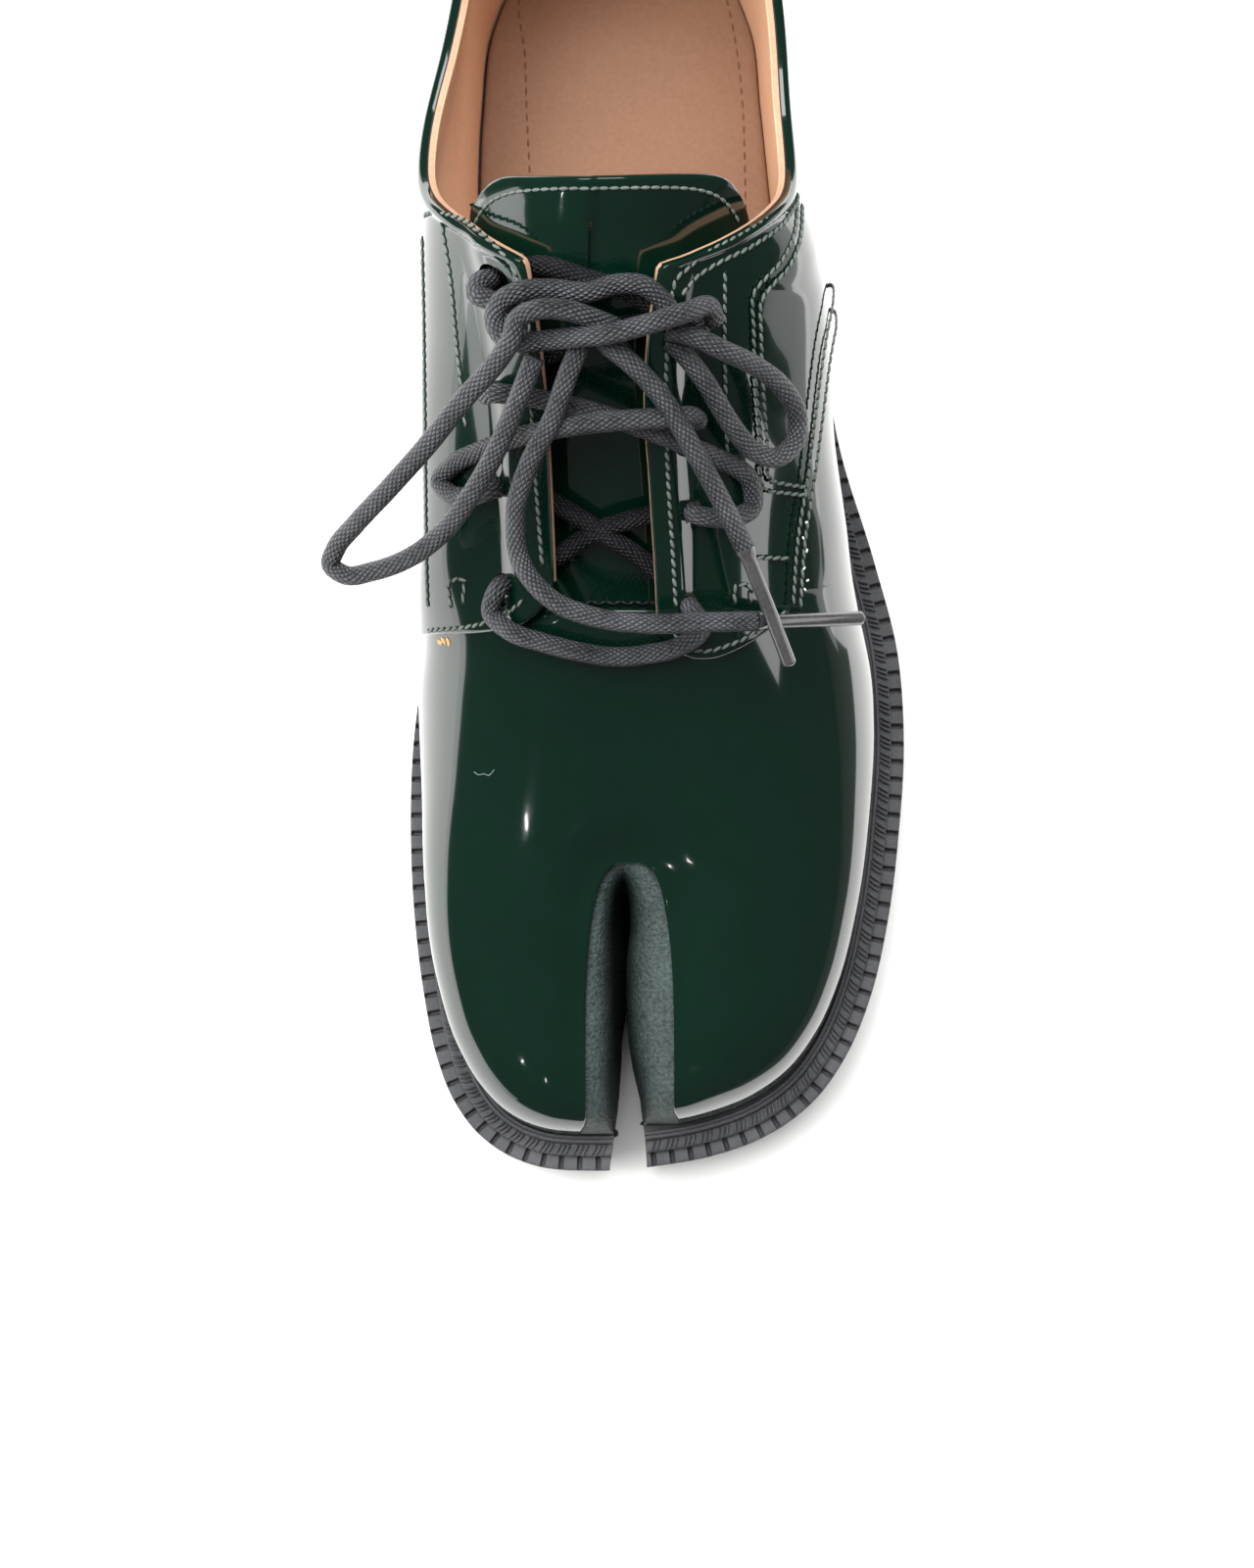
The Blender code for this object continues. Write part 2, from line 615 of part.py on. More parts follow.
def make_outsole():
    length = np.concatenate(([0.0], np.cumsum(np.hypot(*np.diff(np.vstack((OUTLINE, OUTLINE[:1])), axis=0).T))))
    blocks = int(round(length[-1] / BLOCK_PITCH))
    pitch = length[-1] / blocks
    core = inset(LEDGE)
    floor_notch = inset(BLOCK_NOTCH_DEPTH)

    def at(loop, distance):
        closed = np.vstack((loop, loop[:1]))
        d = np.mod(distance, length[-1])
        return np.array([np.interp(d, length, closed[:, 0]), np.interp(d, length, closed[:, 1])])

    rim = []
    foot = []
    inner = []
    for k in range(blocks):
        middle = (k + 0.5) * pitch
        rim.append(at(OUTLINE, middle - BLOCK_NOTCH_WIDTH / 2.0))
        rim.append(at(floor_notch, middle))
        rim.append(at(OUTLINE, middle + BLOCK_NOTCH_WIDTH / 2.0))
        foot += [at(OUTLINE, middle + off * BLOCK_NOTCH_WIDTH) for off in (-0.5, 0.0, 0.5)]
        inner.append(at(core, middle))
    rim = np.asarray(rim)
    foot = np.asarray(foot)
    inner = np.asarray(inner)
    n = len(rim)
    m = len(inner)

    def raised(plan, height):
        return np.column_stack((plan, height))

    points = np.vstack((
        raised(rim, seat_z(rim[:, 1])), raised(inner, seat_z(inner[:, 1])),
        raised(foot, ground_z(foot[:, 1])), raised(inner, ground_z(inner[:, 1]))))
    faces = []
    for k in range(m):
        for base, turned in ((0, False), (n + m, True)):
            a, b, c = base + 3 * k, base + 3 * k + 1, base + 3 * k + 2
            d = base + (3 * k + 3) % n
            i, j = base + n + k, base + n + (k + 1) % m
            for face in ((a, b, i), (b, c, i), (c, d, j, i)):
                faces.append(face[::-1] if turned else face)
    for i in range(n):
        j = (i + 1) % n
        faces.append((i, n + m + i, n + m + j, j))
    for base in (n, 2 * n + m):
        for k in range(m // 2):
            quad = [base + k, base + (k + 1) % m, base + (m - 2 - k) % m, base + (m - 1 - k) % m]
            corners = list(dict.fromkeys(quad))
            if len(corners) > 2:
                faces.append(tuple(corners))
    outsole = add_object("outsole", mesh_from("outsole", points, faces), skin=RUBBER)
    cut(outsole, SOLE_SLIT)
    return outsole


make_outsole()

# Heel: a plain block under the back of the outsole, its breast gently hollow.


def make_heel():
    side_line = inset(1.2)
    medial = half(side_line, MEDIAL)
    lateral = half(side_line, LATERAL)
    pick_m = medial[medial[:, 1] > HEEL_BREAST]
    pick_l = lateral[lateral[:, 1] > HEEL_BREAST]
    pick_m = pick_m[np.linspace(0, len(pick_m) - 1, 22).astype(int)]
    pick_l = pick_l[np.linspace(0, len(pick_l) - 1, 22).astype(int)][::-1]
    breast_x = np.linspace(pick_l[-1, 0], pick_m[0, 0], 8)[1:-1]
    hollow = 4.0 * (1.0 - np.linspace(-1.0, 1.0, 8)[1:-1] ** 2)
    breast = np.column_stack((breast_x, HEEL_BREAST + hollow))
    plan = np.vstack((pick_m, pick_l[1:], breast))
    top = ground_z(plan[:, 1]) - FIT_GAP
    n = len(plan)
    centre = plan.mean(axis=0)
    taper = centre + (plan - centre) * 0.97
    points = np.vstack((np.column_stack((plan, top)), np.column_stack((taper, np.zeros(n)))))
    faces = [tuple(range(n)), tuple(range(2 * n - 1, n - 1, -1))]
    faces += [(i, n + i, n + (i + 1) % n, (i + 1) % n) for i in range(n)]
    mesh = mesh_from("heel", points, faces)
    return add_object("heel", mesh, skin=RUBBER)


make_heel()

# Welt: a strip swept round the upper with a bead against the leather and a ledge outside it.
WELT_STATIONS = 72
WELT_GAP = 0.9
WELT_COLUMNS = ("share", "height")
WELT_ROWS = ((0.0, FIT_GAP), (0.0, 3.2), (0.14, 3.9), (0.30, 3.9), (0.45, 2.2), (0.94, 2.2),
             (1.0, 1.6), (1.0, FIT_GAP))


def make_welt():
    inner = FEATHER + OUTLINE_NORMAL * WELT_GAP
    outer = inset(LEDGE)
    section = np.asarray(WELT_ROWS, float)
    pick = np.linspace(0, len(OUTLINE), WELT_STATIONS, endpoint=False).astype(int)
    rows = []
    for i in pick:
        plan = inner[i] + (outer[i] - inner[i]) * section[:, :1]
        height = seat_z(plan[:, 1]) + section[:, 1]
        rows.append(np.column_stack((plan, height)))
    points = np.vstack(rows)
    wide = len(section)
    faces = grid_faces(WELT_STATIONS, wide, close_rows=True)
    for r in range(WELT_STATIONS):
        below = (r + 1) % WELT_STATIONS
        faces.append((r * wide + wide - 1, r * wide, below * wide, below * wide + wide - 1))
    welt = add_object("welt", mesh_from("welt", points, faces), skin=RUBBER)
    cut(welt, SOLE_SLIT)
    return welt


make_welt()

# Insole: a footbed inside the upper, one fit gap above the outsole.
INSOLE_STATIONS = 38


def make_insole():
    clear = WALL + INSOLE_CLEARANCE + INSOLE_TOE_CLEARANCE * np.clip(1.0 - OUTLINE[:, 1] / 40.0, 0.0, 1.0)
    loop = FEATHER - OUTLINE_NORMAL * clear[:, None]
    medial = half(loop, MEDIAL)
    lateral = half(loop, LATERAL)
    pick = np.linspace(0.0, 1.0, INSOLE_STATIONS)
    rows = []
    for share in pick:
        m = medial[int(round(share * (len(medial) - 1)))]
        l = lateral[int(round(share * (len(lateral) - 1)))]
        rows.append((m, l))
    edge = [p for p, _ in rows] + [q for _, q in rows[-2:0:-1]]
    plan = np.asarray(edge)
    n = len(plan)
    base = seat_z(plan[:, 1]) + FIT_GAP
    points = np.vstack((np.column_stack((plan, base)), np.column_stack((plan, base + INSOLE_THICKNESS))))
    faces = [(i, (i + 1) % n, n + (i + 1) % n, n + i) for i in range(n)]
    for level in (0, n):
        for k in range(INSOLE_STATIONS - 1):
            quad = [level + k, level + k + 1, level + (n - k - 1) % n, level + (n - k) % n]
            corners = list(dict.fromkeys(quad))
            if len(corners) > 2:
                faces.append(tuple(corners))
    insole = add_object("insole", mesh_from("insole", points, faces), skin=TAN)
    cut(insole, INSOLE_SLIT)
    return insole


make_insole()

# Tongue: a sheet sunk below the quarters from the vamp to above the collar.
TONGUE_COLUMNS = ("from_toe", "sink", "medial_half", "lateral_half")
TONGUE_ROWS = (
    (100.0, 3.4, 12.0, 12.0),
    (107.0, 5.4, 14.5, 13.5),
    (113.0, 7.2, 16.0, 14.5),
    (124.0, 7.4, 18.5, 16.5),
    (137.0, 7.4, 20.0, 18.5),
    (151.0, 7.4, 21.5, 21.0),
    (164.0, 7.4, 23.5, 24.0),
    (174.0, 6.4, 25.5, 28.0),
    (182.0, 5.4, 26.0, 30.5),
    (187.0, 5.0, 22.5, 28.0),
)
TONGUE_SIDES = 4


def make_tongue():
    stations = [row[0] for row in TONGUE_ROWS]
    points = []
    for station in stations:
        sink = table(TONGUE_ROWS, TONGUE_COLUMNS, "sink", station)
        spread = (-table(TONGUE_ROWS, TONGUE_COLUMNS, "medial_half", station),
                  table(TONGUE_ROWS, TONGUE_COLUMNS, "lateral_half", station))
        for share in np.linspace(-1.0, 1.0, 2 * TONGUE_SIDES + 1):
            side = MEDIAL if share < 0 else LATERAL
            across = abs(share) * abs(spread[0] if share < 0 else spread[1])
            angle = math.pi / 2.0 - 1e-3 if across < 0.1 else across_angle(side, station, across)
            normal = np.array(face_normal(side, station, min(angle, 1.5)))
            if across < 0.1:
                normal = np.array(face_normal(MEDIAL, station, 1.5)) + np.array(face_normal(LATERAL, station, 1.5))
                normal /= np.linalg.norm(normal)
            points.append(np.asarray(surface(side, station, angle)) - normal * sink)
    mesh = mesh_from("tongue_face", points, grid_faces(len(stations), 2 * TONGUE_SIDES + 1))
    facing = bmesh.new()
    facing.from_mesh(mesh)
    if sum(f.normal.z for f in facing.faces) < 0:
        bmesh.ops.reverse_faces(facing, faces=facing.faces)
    facing.to_mesh(mesh)
    facing.free()
    sheet = add_object("tongue_face", mesh)
    thick = sheet.modifiers.new("thickness", "SOLIDIFY")
    thick.thickness = TONGUE_THICKNESS * MM
    thick.offset = -1.0
    return add_object("tongue", baked(sheet), skin=PATENT)


make_tongue()

# Toe gusset: a padded lip that rolls from the edge of the split down to the slit of the sole.
GUSSET_TURN = (0.0, 25.0, 50.0, 72.0, 90.0)
GUSSET_EDGE_GAP = 0.5
GUSSET_CORNER_GAP = 1.0
GUSSET_FRONT = 8.0
GUSSET_FRONT_SHARES = (0.1, 0.3, 0.6, 0.85)


def gusset_stations():
    """Edge points of the split from the medial corner round its back end to the lateral corner."""
    edges = []
    for side in (MEDIAL, LATERAL):
        feet = toe_feet(side)
        front = rib(side, feet[0], np.asarray(GUSSET_FRONT_SHARES) * slot_angle(side, feet[0]))
        points = [rib(side, foot, np.array([slot_angle(side, foot)]))[0] for foot in feet]
        edges.append(np.vstack((front, points)))
    back = rib(MEDIAL, foot_at(MEDIAL, SLOT_END), np.array([math.pi / 2.0]))
    return np.vstack((edges[0], back, edges[1][::-1]))


def make_gusset():
    rows = []
    for edge in gusset_stations():
        share = (edge[1] - GUSSET_FRONT) / (SLOT_END - GUSSET_FRONT)
        at = GUSSET_FRONT + share * (SLIT_END - GUSSET_FRONT)
        beside = np.sign(edge[0] - SLOT_CENTRE) * slit_half_width(at)
        low = np.array([SLOT_CENTRE + beside, at])
        inward = (low - edge[:2]) / np.hypot(*(low - edge[:2]))
        corner = np.clip((26.0 - edge[1]) / 14.0, 0.0, 1.0)
        start = edge[:2] + inward * (GUSSET_EDGE_GAP + GUSSET_CORNER_GAP * corner)
        foot_z = seat_z(at) + FIT_GAP
        depth = min(GUSSET_ROLL, 0.6 * (edge[2] - foot_z))
        for turn in np.radians(GUSSET_TURN):
            plan = low + (start - low) * (1.0 - math.sin(turn))
            rows.append((plan[0], plan[1], edge[2] - depth * (1.0 - math.cos(turn))))
        rows.append((low[0], low[1], foot_z))
    wide = len(GUSSET_TURN) + 1
    mesh = mesh_from("gusset_face", rows, grid_faces(len(rows) // wide, wide))
    facing = bmesh.new()
    facing.from_mesh(mesh)
    lift = max(facing.faces, key=lambda f: abs(f.normal.z))
    if lift.normal.z < 0:
        bmesh.ops.reverse_faces(facing, faces=facing.faces)
    facing.to_mesh(mesh)
    facing.free()
    sheet = add_object("gusset_face", mesh)
    thick = sheet.modifiers.new("thickness", "SOLIDIFY")
    thick.thickness = GUSSET_THICKNESS * MM
    thick.offset = -1.0
    return add_object("toe_gusset", baked(sheet), skin=GUSSET_LEATHER)


make_gusset()

# Lace: bars and crossings as solids that stay clear of the leather, the bow as cords.
LACE_BED = 4.6
LACE_STEP = 9.0


def cord(name, route, radius, skin, collection=SHOE):
    """Round cord through hand-placed route points (x, from_toe, z)."""
    knots = np.asarray(route, float)
    chord = np.concatenate(([0.0], np.cumsum(np.linalg.norm(np.diff(knots, axis=0), axis=1))))
    count = max(3, int(round(chord[-1] / LACE_STEP)) + 1)
    along = np.linspace(0.0, chord[-1], count)
    points = to_frame(np.column_stack([smooth(along, chord, knots[:, k]) for k in range(3)]))
    curve = bpy.data.curves.new(name, "CURVE")
    curve.dimensions = "3D"
    curve.bevel_depth = radius * MM
    curve.bevel_resolution = 2
    curve.use_fill_caps = True
    spline = curve.splines.new("POLY")
    spline.points.add(len(points) - 1)
    for knot, point in zip(spline.points, points):
        knot.co = (*point, 1.0)
    mesh = baked(add_object(name + "_path", curve))
    weld = bmesh.new()
    weld.from_mesh(mesh)
    bmesh.ops.remove_doubles(weld, verts=weld.verts, dist=1e-6)
    bmesh.ops.recalc_face_normals(weld, faces=weld.faces)
    weld.to_mesh(mesh)
    weld.free()
    return add_object(name, mesh, collection, skin)


def join(target, other):
    modifier = target.modifiers.new("join_" + other.name, "BOOLEAN")
    modifier.operation = "UNION"
    modifier.solver = "EXACT"
    modifier.object = other


def inside_route(stops):
    """Route between the quarters and the tongue from (signed distance beside the spine, from_toe)."""
    route = []
    for across, station in stops:
        side = MEDIAL if across < 0 else LATERAL
        angle = across_angle(side, station, max(abs(across), 0.5))
        normal = np.array(face_normal(side, station, min(angle, 1.5)))
        route.append(np.asarray(surface(side, station, angle)) - normal * LACE_BED)
    return route


LACE_BAR = ((-32.0, 117.0, 75.0), (-33.0, 113.0, 72.5), (-29.6, 108.6, 71.0), (-22.7, 105.0, 70.5),
            (-14.8, 102.8, 70.0), (-6.8, 102.0, 69.8), (1.1, 103.2, 70.4), (7.8, 106.6, 71.2),
            (9.8, 110.4, 73.5), (6.6, 113.4, 75.5))
LOW_CROSS_A = ((-15.5, 120.0), (-9.0, 122.5), (0.0, 125.5), (7.0, 127.5), (12.5, 129.0))
LOW_CROSS_B = ((-15.5, 134.0), (-9.0, 130.5), (0.0, 125.0), (7.0, 120.5), (12.5, 117.5))
MID_CROSS_A = ((6.5, 131.0, 84.5), (11.7, 130.4, 82.6), (16.9, 133.1, 81.8), (15.6, 137.0, 84.8),
               (8.5, 140.3, 89.2), (2.7, 142.5, 91.8), (-6.8, 145.6, 95.2), (-16.3, 148.3, 98.6),
               (-25.9, 150.5, 97.6), (-31.5, 151.6, 96.4))
MID_CROSS_B = ((-32.4, 136.4, 85.0), (-38.6, 135.8, 81.0), (-45.6, 139.4, 76.5), (-42.6, 142.0, 82.0),
               (-33.8, 143.6, 89.2), (-24.0, 145.2, 95.8), (-15.0, 146.6, 98.8), (-6.0, 147.4, 99.4),
               (0.0, 147.4, 98.0), (5.0, 146.6, 95.4))
TOP_CROSS_A = ((-15.5, 154.5), (-9.0, 156.0), (0.0, 158.0), (7.0, 159.5), (12.5, 161.0))
TOP_CROSS_B = ((-15.5, 165.0), (-9.0, 162.0), (0.0, 157.5), (7.0, 153.0), (12.5, 150.0))

cord("lace_bar", LACE_BAR, LACE_RADIUS, CORD)
for label, first, second in (("lace_cross_low", inside_route(LOW_CROSS_A), inside_route(LOW_CROSS_B)),
                             ("lace_cross_mid", MID_CROSS_A, MID_CROSS_B),
                             ("lace_cross_top", inside_route(TOP_CROSS_A), inside_route(TOP_CROSS_B))):
    join(cord(label, first, LACE_RADIUS, CORD), cord(label + "_strand", second, LACE_RADIUS, CORD, CUTTERS))

KNOT = ((-27.0, 160.0, 109.0), (-18.0, 159.0, 113.0), (-8.0, 158.5, 114.6), (2.0, 159.0, 113.2),
        (10.0, 160.5, 108.8))
LOOP_MEDIAL = ((-23.0, 153.0, 108.5), (-35.0, 147.5, 101.0), (-46.0, 141.0, 91.0), (-57.0, 132.0, 81.0),
               (-66.0, 122.0, 74.0), (-68.5, 117.0, 71.5), (-63.0, 115.5, 71.5), (-54.0, 118.0, 74.5),
               (-45.0, 123.5, 80.5), (-37.4, 131.5, 88.5), (-31.5, 139.6, 96.6), (-30.2, 143.5, 100.0))
LOOP_LATERAL = ((6.0, 154.0, 107.5), (15.9, 154.5, 100.0), (25.0, 150.8, 90.5), (27.6, 145.2, 84.5),
                (22.8, 139.6, 85.0), (15.6, 141.0, 91.0), (11.2, 145.6, 97.0), (9.0, 148.6, 100.6))
END_LATERAL = ((-5.5, 152.5, 109.0), (2.7, 141.2, 99.6), (11.3, 130.6, 89.6), (16.9, 122.6, 82.4))
END_MEDIAL = ((-17.0, 150.5, 108.0), (-22.0, 144.2, 103.4), (-26.0, 138.0, 97.0), (-28.8, 129.5, 87.0),
              (-27.4, 119.5, 80.0), (-20.6, 112.5, 79.0), (-6.8, 109.0, 80.0), (4.9, 108.5, 80.2),
              (11.0, 109.0, 78.6), (16.6, 109.7, 75.0))
AGLET_LATERAL = ((17.5, 121.8, 81.7), (21.8, 112.2, 76.8), (26.4, 102.0, 71.6))
AGLET_MEDIAL = ((17.6, 109.8, 74.3), (28.0, 110.2, 68.2), (40.5, 110.6, 60.6))

cord("lace_knot", KNOT, LACE_RADIUS, CORD)
cord("lace_loop_medial", LOOP_MEDIAL, LACE_RADIUS, CORD)
cord("lace_loop_lateral", LOOP_LATERAL, LACE_RADIUS, CORD)
cord("lace_end_medial", END_MEDIAL, LACE_RADIUS, CORD)
cord("lace_end_lateral", END_LATERAL, LACE_RADIUS, CORD)
cord("aglet_medial", AGLET_MEDIAL, AGLET_RADIUS, AGLET)
cord("aglet_lateral", AGLET_LATERAL, AGLET_RADIUS, AGLET)
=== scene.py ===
import math

import bmesh
import bpy
import numpy as np
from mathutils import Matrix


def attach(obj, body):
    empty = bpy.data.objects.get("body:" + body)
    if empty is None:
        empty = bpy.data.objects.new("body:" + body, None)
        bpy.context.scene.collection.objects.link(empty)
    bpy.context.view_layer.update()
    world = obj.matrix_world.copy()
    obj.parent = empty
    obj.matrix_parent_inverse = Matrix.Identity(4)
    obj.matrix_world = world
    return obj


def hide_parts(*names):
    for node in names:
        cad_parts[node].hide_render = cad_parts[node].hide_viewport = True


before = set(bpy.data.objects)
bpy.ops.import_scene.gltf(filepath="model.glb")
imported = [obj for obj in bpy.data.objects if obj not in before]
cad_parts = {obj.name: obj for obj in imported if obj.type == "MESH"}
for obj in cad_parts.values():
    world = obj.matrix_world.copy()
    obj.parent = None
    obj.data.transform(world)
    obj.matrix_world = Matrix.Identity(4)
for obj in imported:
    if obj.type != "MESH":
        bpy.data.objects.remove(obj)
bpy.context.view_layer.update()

# Outsole: one moulded rubber unit with toe spring, arch and a side cut into blocks by upright grooves.
# It is swept round the outline of the last; lengths are in millimetres, from_toe runs back from the toe tip.
SHOE_LENGTH = 285.0
MILLIMETRE = 0.001
MEDIAL, LATERAL = -1, 1
SIDE_NAME = {MEDIAL: "medial", LATERAL: "lateral"}


def through(position, stations, values):
    """Cubic Hermite curve through a table column, its slopes weighted from the neighbouring rises."""
    x = np.asarray(stations, float)
    y = np.asarray(values, float)
    p = np.clip(np.asarray(position, float), x[0], x[-1])
    step = np.diff(x)
    rise = np.diff(y) / step
    slope = np.concatenate(([rise[0]], (rise[:-1] * step[1:] + rise[1:] * step[:-1])
                            / (step[:-1] + step[1:]), [rise[-1]]))
    k = np.clip(np.searchsorted(x, p, side="right") - 1, 0, len(x) - 2)
    u = (p - x[k]) / step[k]
    return ((2 * u**3 - 3 * u**2 + 1) * y[k] + (u**3 - 2 * u**2 + u) * step[k] * slope[k]
            + (3 * u**2 - 2 * u**3) * y[k + 1] + (u**3 - u**2) * step[k] * slope[k + 1])


class Table:
    """Short table with named columns; read gives the smooth curve of one column over the first."""

    def __init__(self, names, rows):
        self.names = names.split()
        self.rows = np.array(rows)

    def column(self, name):
        return self.rows[:, self.names.index(name)]

    def read(self, name, position):
        return through(position, self.rows[:, 0], self.column(name))


TOE_TIP = (-15.0, 0.0)
HEEL_TIP = (-8.2, SHOE_LENGTH)
OUTLINE_TABLE = Table("from_toe medial lateral", (
    (1.0, -26.2, -0.3), (3.2, -32.2, 11.8), (8.0, -39.0, 24.3), (15.0, -44.3, 33.7), (25.0, -48.4, 41.0),
    (38.0, -51.3, 46.6), (55.0, -53.7, 50.8), (75.0, -54.9, 53.6), (95.0, -54.5, 55.0),
    (115.0, -52.0, 53.8), (135.0, -49.2, 48.7), (160.0, -47.6, 40.9), (185.0, -46.9, 36.4),
    (210.0, -46.6, 32.0), (235.0, -45.7, 29.3), (255.0, -43.4, 27.0), (270.0, -36.6, 20.2),
    (280.0, -25.5, 9.1)))
LAST_NAMES = "from_toe spine_x crest_z feather_z ground_z rim full_medial full_lateral bow_medial bow_lateral"
LAST_TABLE = Table(LAST_NAMES, (
    (0.0, -6.3, 38.0, 24.5, 8.5, 8.0, 2.7, 2.7, 0.4, 0.2),
    (15.0, -6.3, 39.0, 22.4, 4.6, 8.0, 2.7, 2.7, 1.7, 0.2),
    (32.0, -6.3, 42.0, 20.4, 1.4, 8.0, 2.6, 2.6, 4.3, 0.9),
    (48.0, -6.5, 44.5, 18.8, 0.0, 8.0, 2.5, 2.4, 5.7, 1.5),
    (64.0, -6.9, 48.0, 18.2, 0.0, 8.0, 2.4, 2.3, 5.8, 1.9),
    (85.0, -8.3, 56.0, 18.0, 0.0, 8.0, 2.3, 2.2, 6.0, 2.0),
    (107.0, -10.6, 66.5, 18.2, 0.0, 8.0, 2.3, 2.2, 8.7, 1.8),
    (120.0, -11.2, 73.5, 19.2, 0.0, 7.8, 2.3, 2.2, 12.1, 1.5),
    (135.0, -12.0, 83.0, 21.2, 3.2, 7.4, 2.3, 2.2, 12.8, 4.2),
    (150.0, -12.9, 93.5, 23.8, 8.0, 6.8, 2.3, 2.2, 13.2, 6.4),
    (167.0, -13.1, 106.5, 27.2, 13.2, 6.2, 2.3, 2.2, 12.4, 9.2),
    (190.0, -12.5, 121.0, 31.2, 18.6, 5.6, 2.4, 2.3, 11.8, 8.6),
    (210.0, -10.5, 126.0, 33.4, 21.6, 5.2, 2.4, 2.3, 12.2, 8.2),
    (235.0, -8.5, 128.0, 34.8, 23.2, 5.0, 2.4, 2.4, 8.0, 7.2),
    (255.0, -8.2, 128.0, 35.4, 23.8, 5.0, 2.4, 2.4, 5.2, 5.2),
    (285.0, -8.2, 128.0, 36.0, 24.2, 5.0, 2.4, 2.4, 4.8, 4.8)))
OUTLINE_POINTS, OUTLINE_LAP, TURN_STEP = 1600, 3, 4
SEAT_DROP = 3.0


def last(name, from_toe):
    """One size of the last at a distance from the toe."""
    return LAST_TABLE.read(name, from_toe)


def ease(low, high, value):
    """Smooth step from 0 at low to 1 at high."""
    u = np.clip((value - low) / (high - low), 0.0, 1.0)
    return u * u * (3.0 - 2.0 * u)


def unit(vector):
    """Vectors brought to length 1."""
    return vector / np.maximum(np.linalg.norm(vector, axis=-1, keepdims=True), 1e-9)


def run_length(points):
    """Distance along a polyline, starting at 0."""
    return np.concatenate(([0.0], np.cumsum(np.linalg.norm(np.diff(points, axis=0), axis=1))))


def curve_through(along, chord, knots):
    """Smooth curve through points, each of their columns taken over the chord length."""
    return np.column_stack([through(along, chord, column) for column in knots.T])


def sole_outline():
    """Closed outline: a smooth curve through the toe, the medial side, the heel and the lateral side."""
    from_toe = OUTLINE_TABLE.column("from_toe")
    medial = np.column_stack((OUTLINE_TABLE.column("medial"), from_toe))
    lateral = np.column_stack((OUTLINE_TABLE.column("lateral"), from_toe))
    knots = np.vstack(([TOE_TIP], medial, [HEEL_TIP], lateral[::-1]))
    ring = np.vstack((knots[-OUTLINE_LAP:], knots, knots[:OUTLINE_LAP + 1]))
    chord = run_length(ring)
    start, stop = chord[OUTLINE_LAP], chord[OUTLINE_LAP + len(knots)]
    return curve_through(np.linspace(start, stop, OUTLINE_POINTS, endpoint=False), chord, ring)


OUTLINE = sole_outline()
rim_ahead = unit(np.roll(OUTLINE, -TURN_STEP, axis=0) - np.roll(OUTLINE, TURN_STEP, axis=0))
OUTWARD = np.column_stack((rim_ahead[:, 1], -rim_ahead[:, 0]))
OUTWARD *= np.sign(np.sum(OUTWARD * (OUTLINE - OUTLINE.mean(axis=0))))
RIM = last("rim", OUTLINE[:, 1])
FEATHER = OUTLINE - OUTWARD * RIM[:, None]
HEEL_INDEX = int(np.argmax(OUTLINE[:, 1]))
AROUND = run_length(np.vstack((OUTLINE, OUTLINE[:1])))
CIRCUIT = AROUND[-1]


def round_shoe(distance, values):
    """Value of a column of the outline at a distance round the shoe."""
    closed = np.concatenate((values, values[:1]))
    return np.interp(np.mod(distance, CIRCUIT), AROUND, closed)


def rim_plan(distance, inset):
    """Plan point at a distance round the shoe, moved in from the outline by an inset."""
    x = round_shoe(distance, OUTLINE[:, 0]) - round_shoe(distance, OUTWARD[:, 0]) * inset
    y = round_shoe(distance, OUTLINE[:, 1]) - round_shoe(distance, OUTWARD[:, 1]) * inset
    return np.stack(np.broadcast_arrays(x, y), axis=-1)


def seat_z(from_toe):
    """Height of the outsole's top face, a little below the feather line."""
    return last("feather_z", from_toe) - SEAT_DROP


def ground_z(from_toe):
    """Height of the outsole's underside: toe spring, flat tread, arch and heel seat."""
    return np.maximum(last("ground_z", from_toe), 0.0)


def quads(rows, columns, loop_rows=False, loop_columns=False):
    """Index array of the quads of a grid stored row after row."""
    r, c = np.meshgrid(np.arange(rows if loop_rows else rows - 1),
                       np.arange(columns if loop_columns else columns - 1), indexing="ij")
    below, right = (r + 1) % rows, (c + 1) % columns
    return np.stack((r * columns + c, r * columns + right, below * columns + right, below * columns + c),
                    axis=-1).reshape(-1, 4)


def to_metres(points):
    """Millimetres from the toe tip, turned into metres in the part's frame."""
    return (np.asarray(points, float) - (0.0, SHOE_LENGTH / 2.0, 0.0)) * MILLIMETRE


def sew(mesh):
    """Merges the points that meet in a mesh and turns its faces outwards."""
    work = bmesh.new()
    work.from_mesh(mesh)
    bmesh.ops.remove_doubles(work, verts=work.verts, dist=2e-6)
    bmesh.ops.dissolve_degenerate(work, edges=work.edges, dist=1e-7)
    bmesh.ops.recalc_face_normals(work, faces=work.faces)
    work.to_mesh(mesh)
    work.free()


def put_in_scene(name, data):
    """New object in the scene for a mesh, a light or a camera."""
    made = bpy.data.objects.new(name, data)
    bpy.context.scene.collection.objects.link(made)
    return made


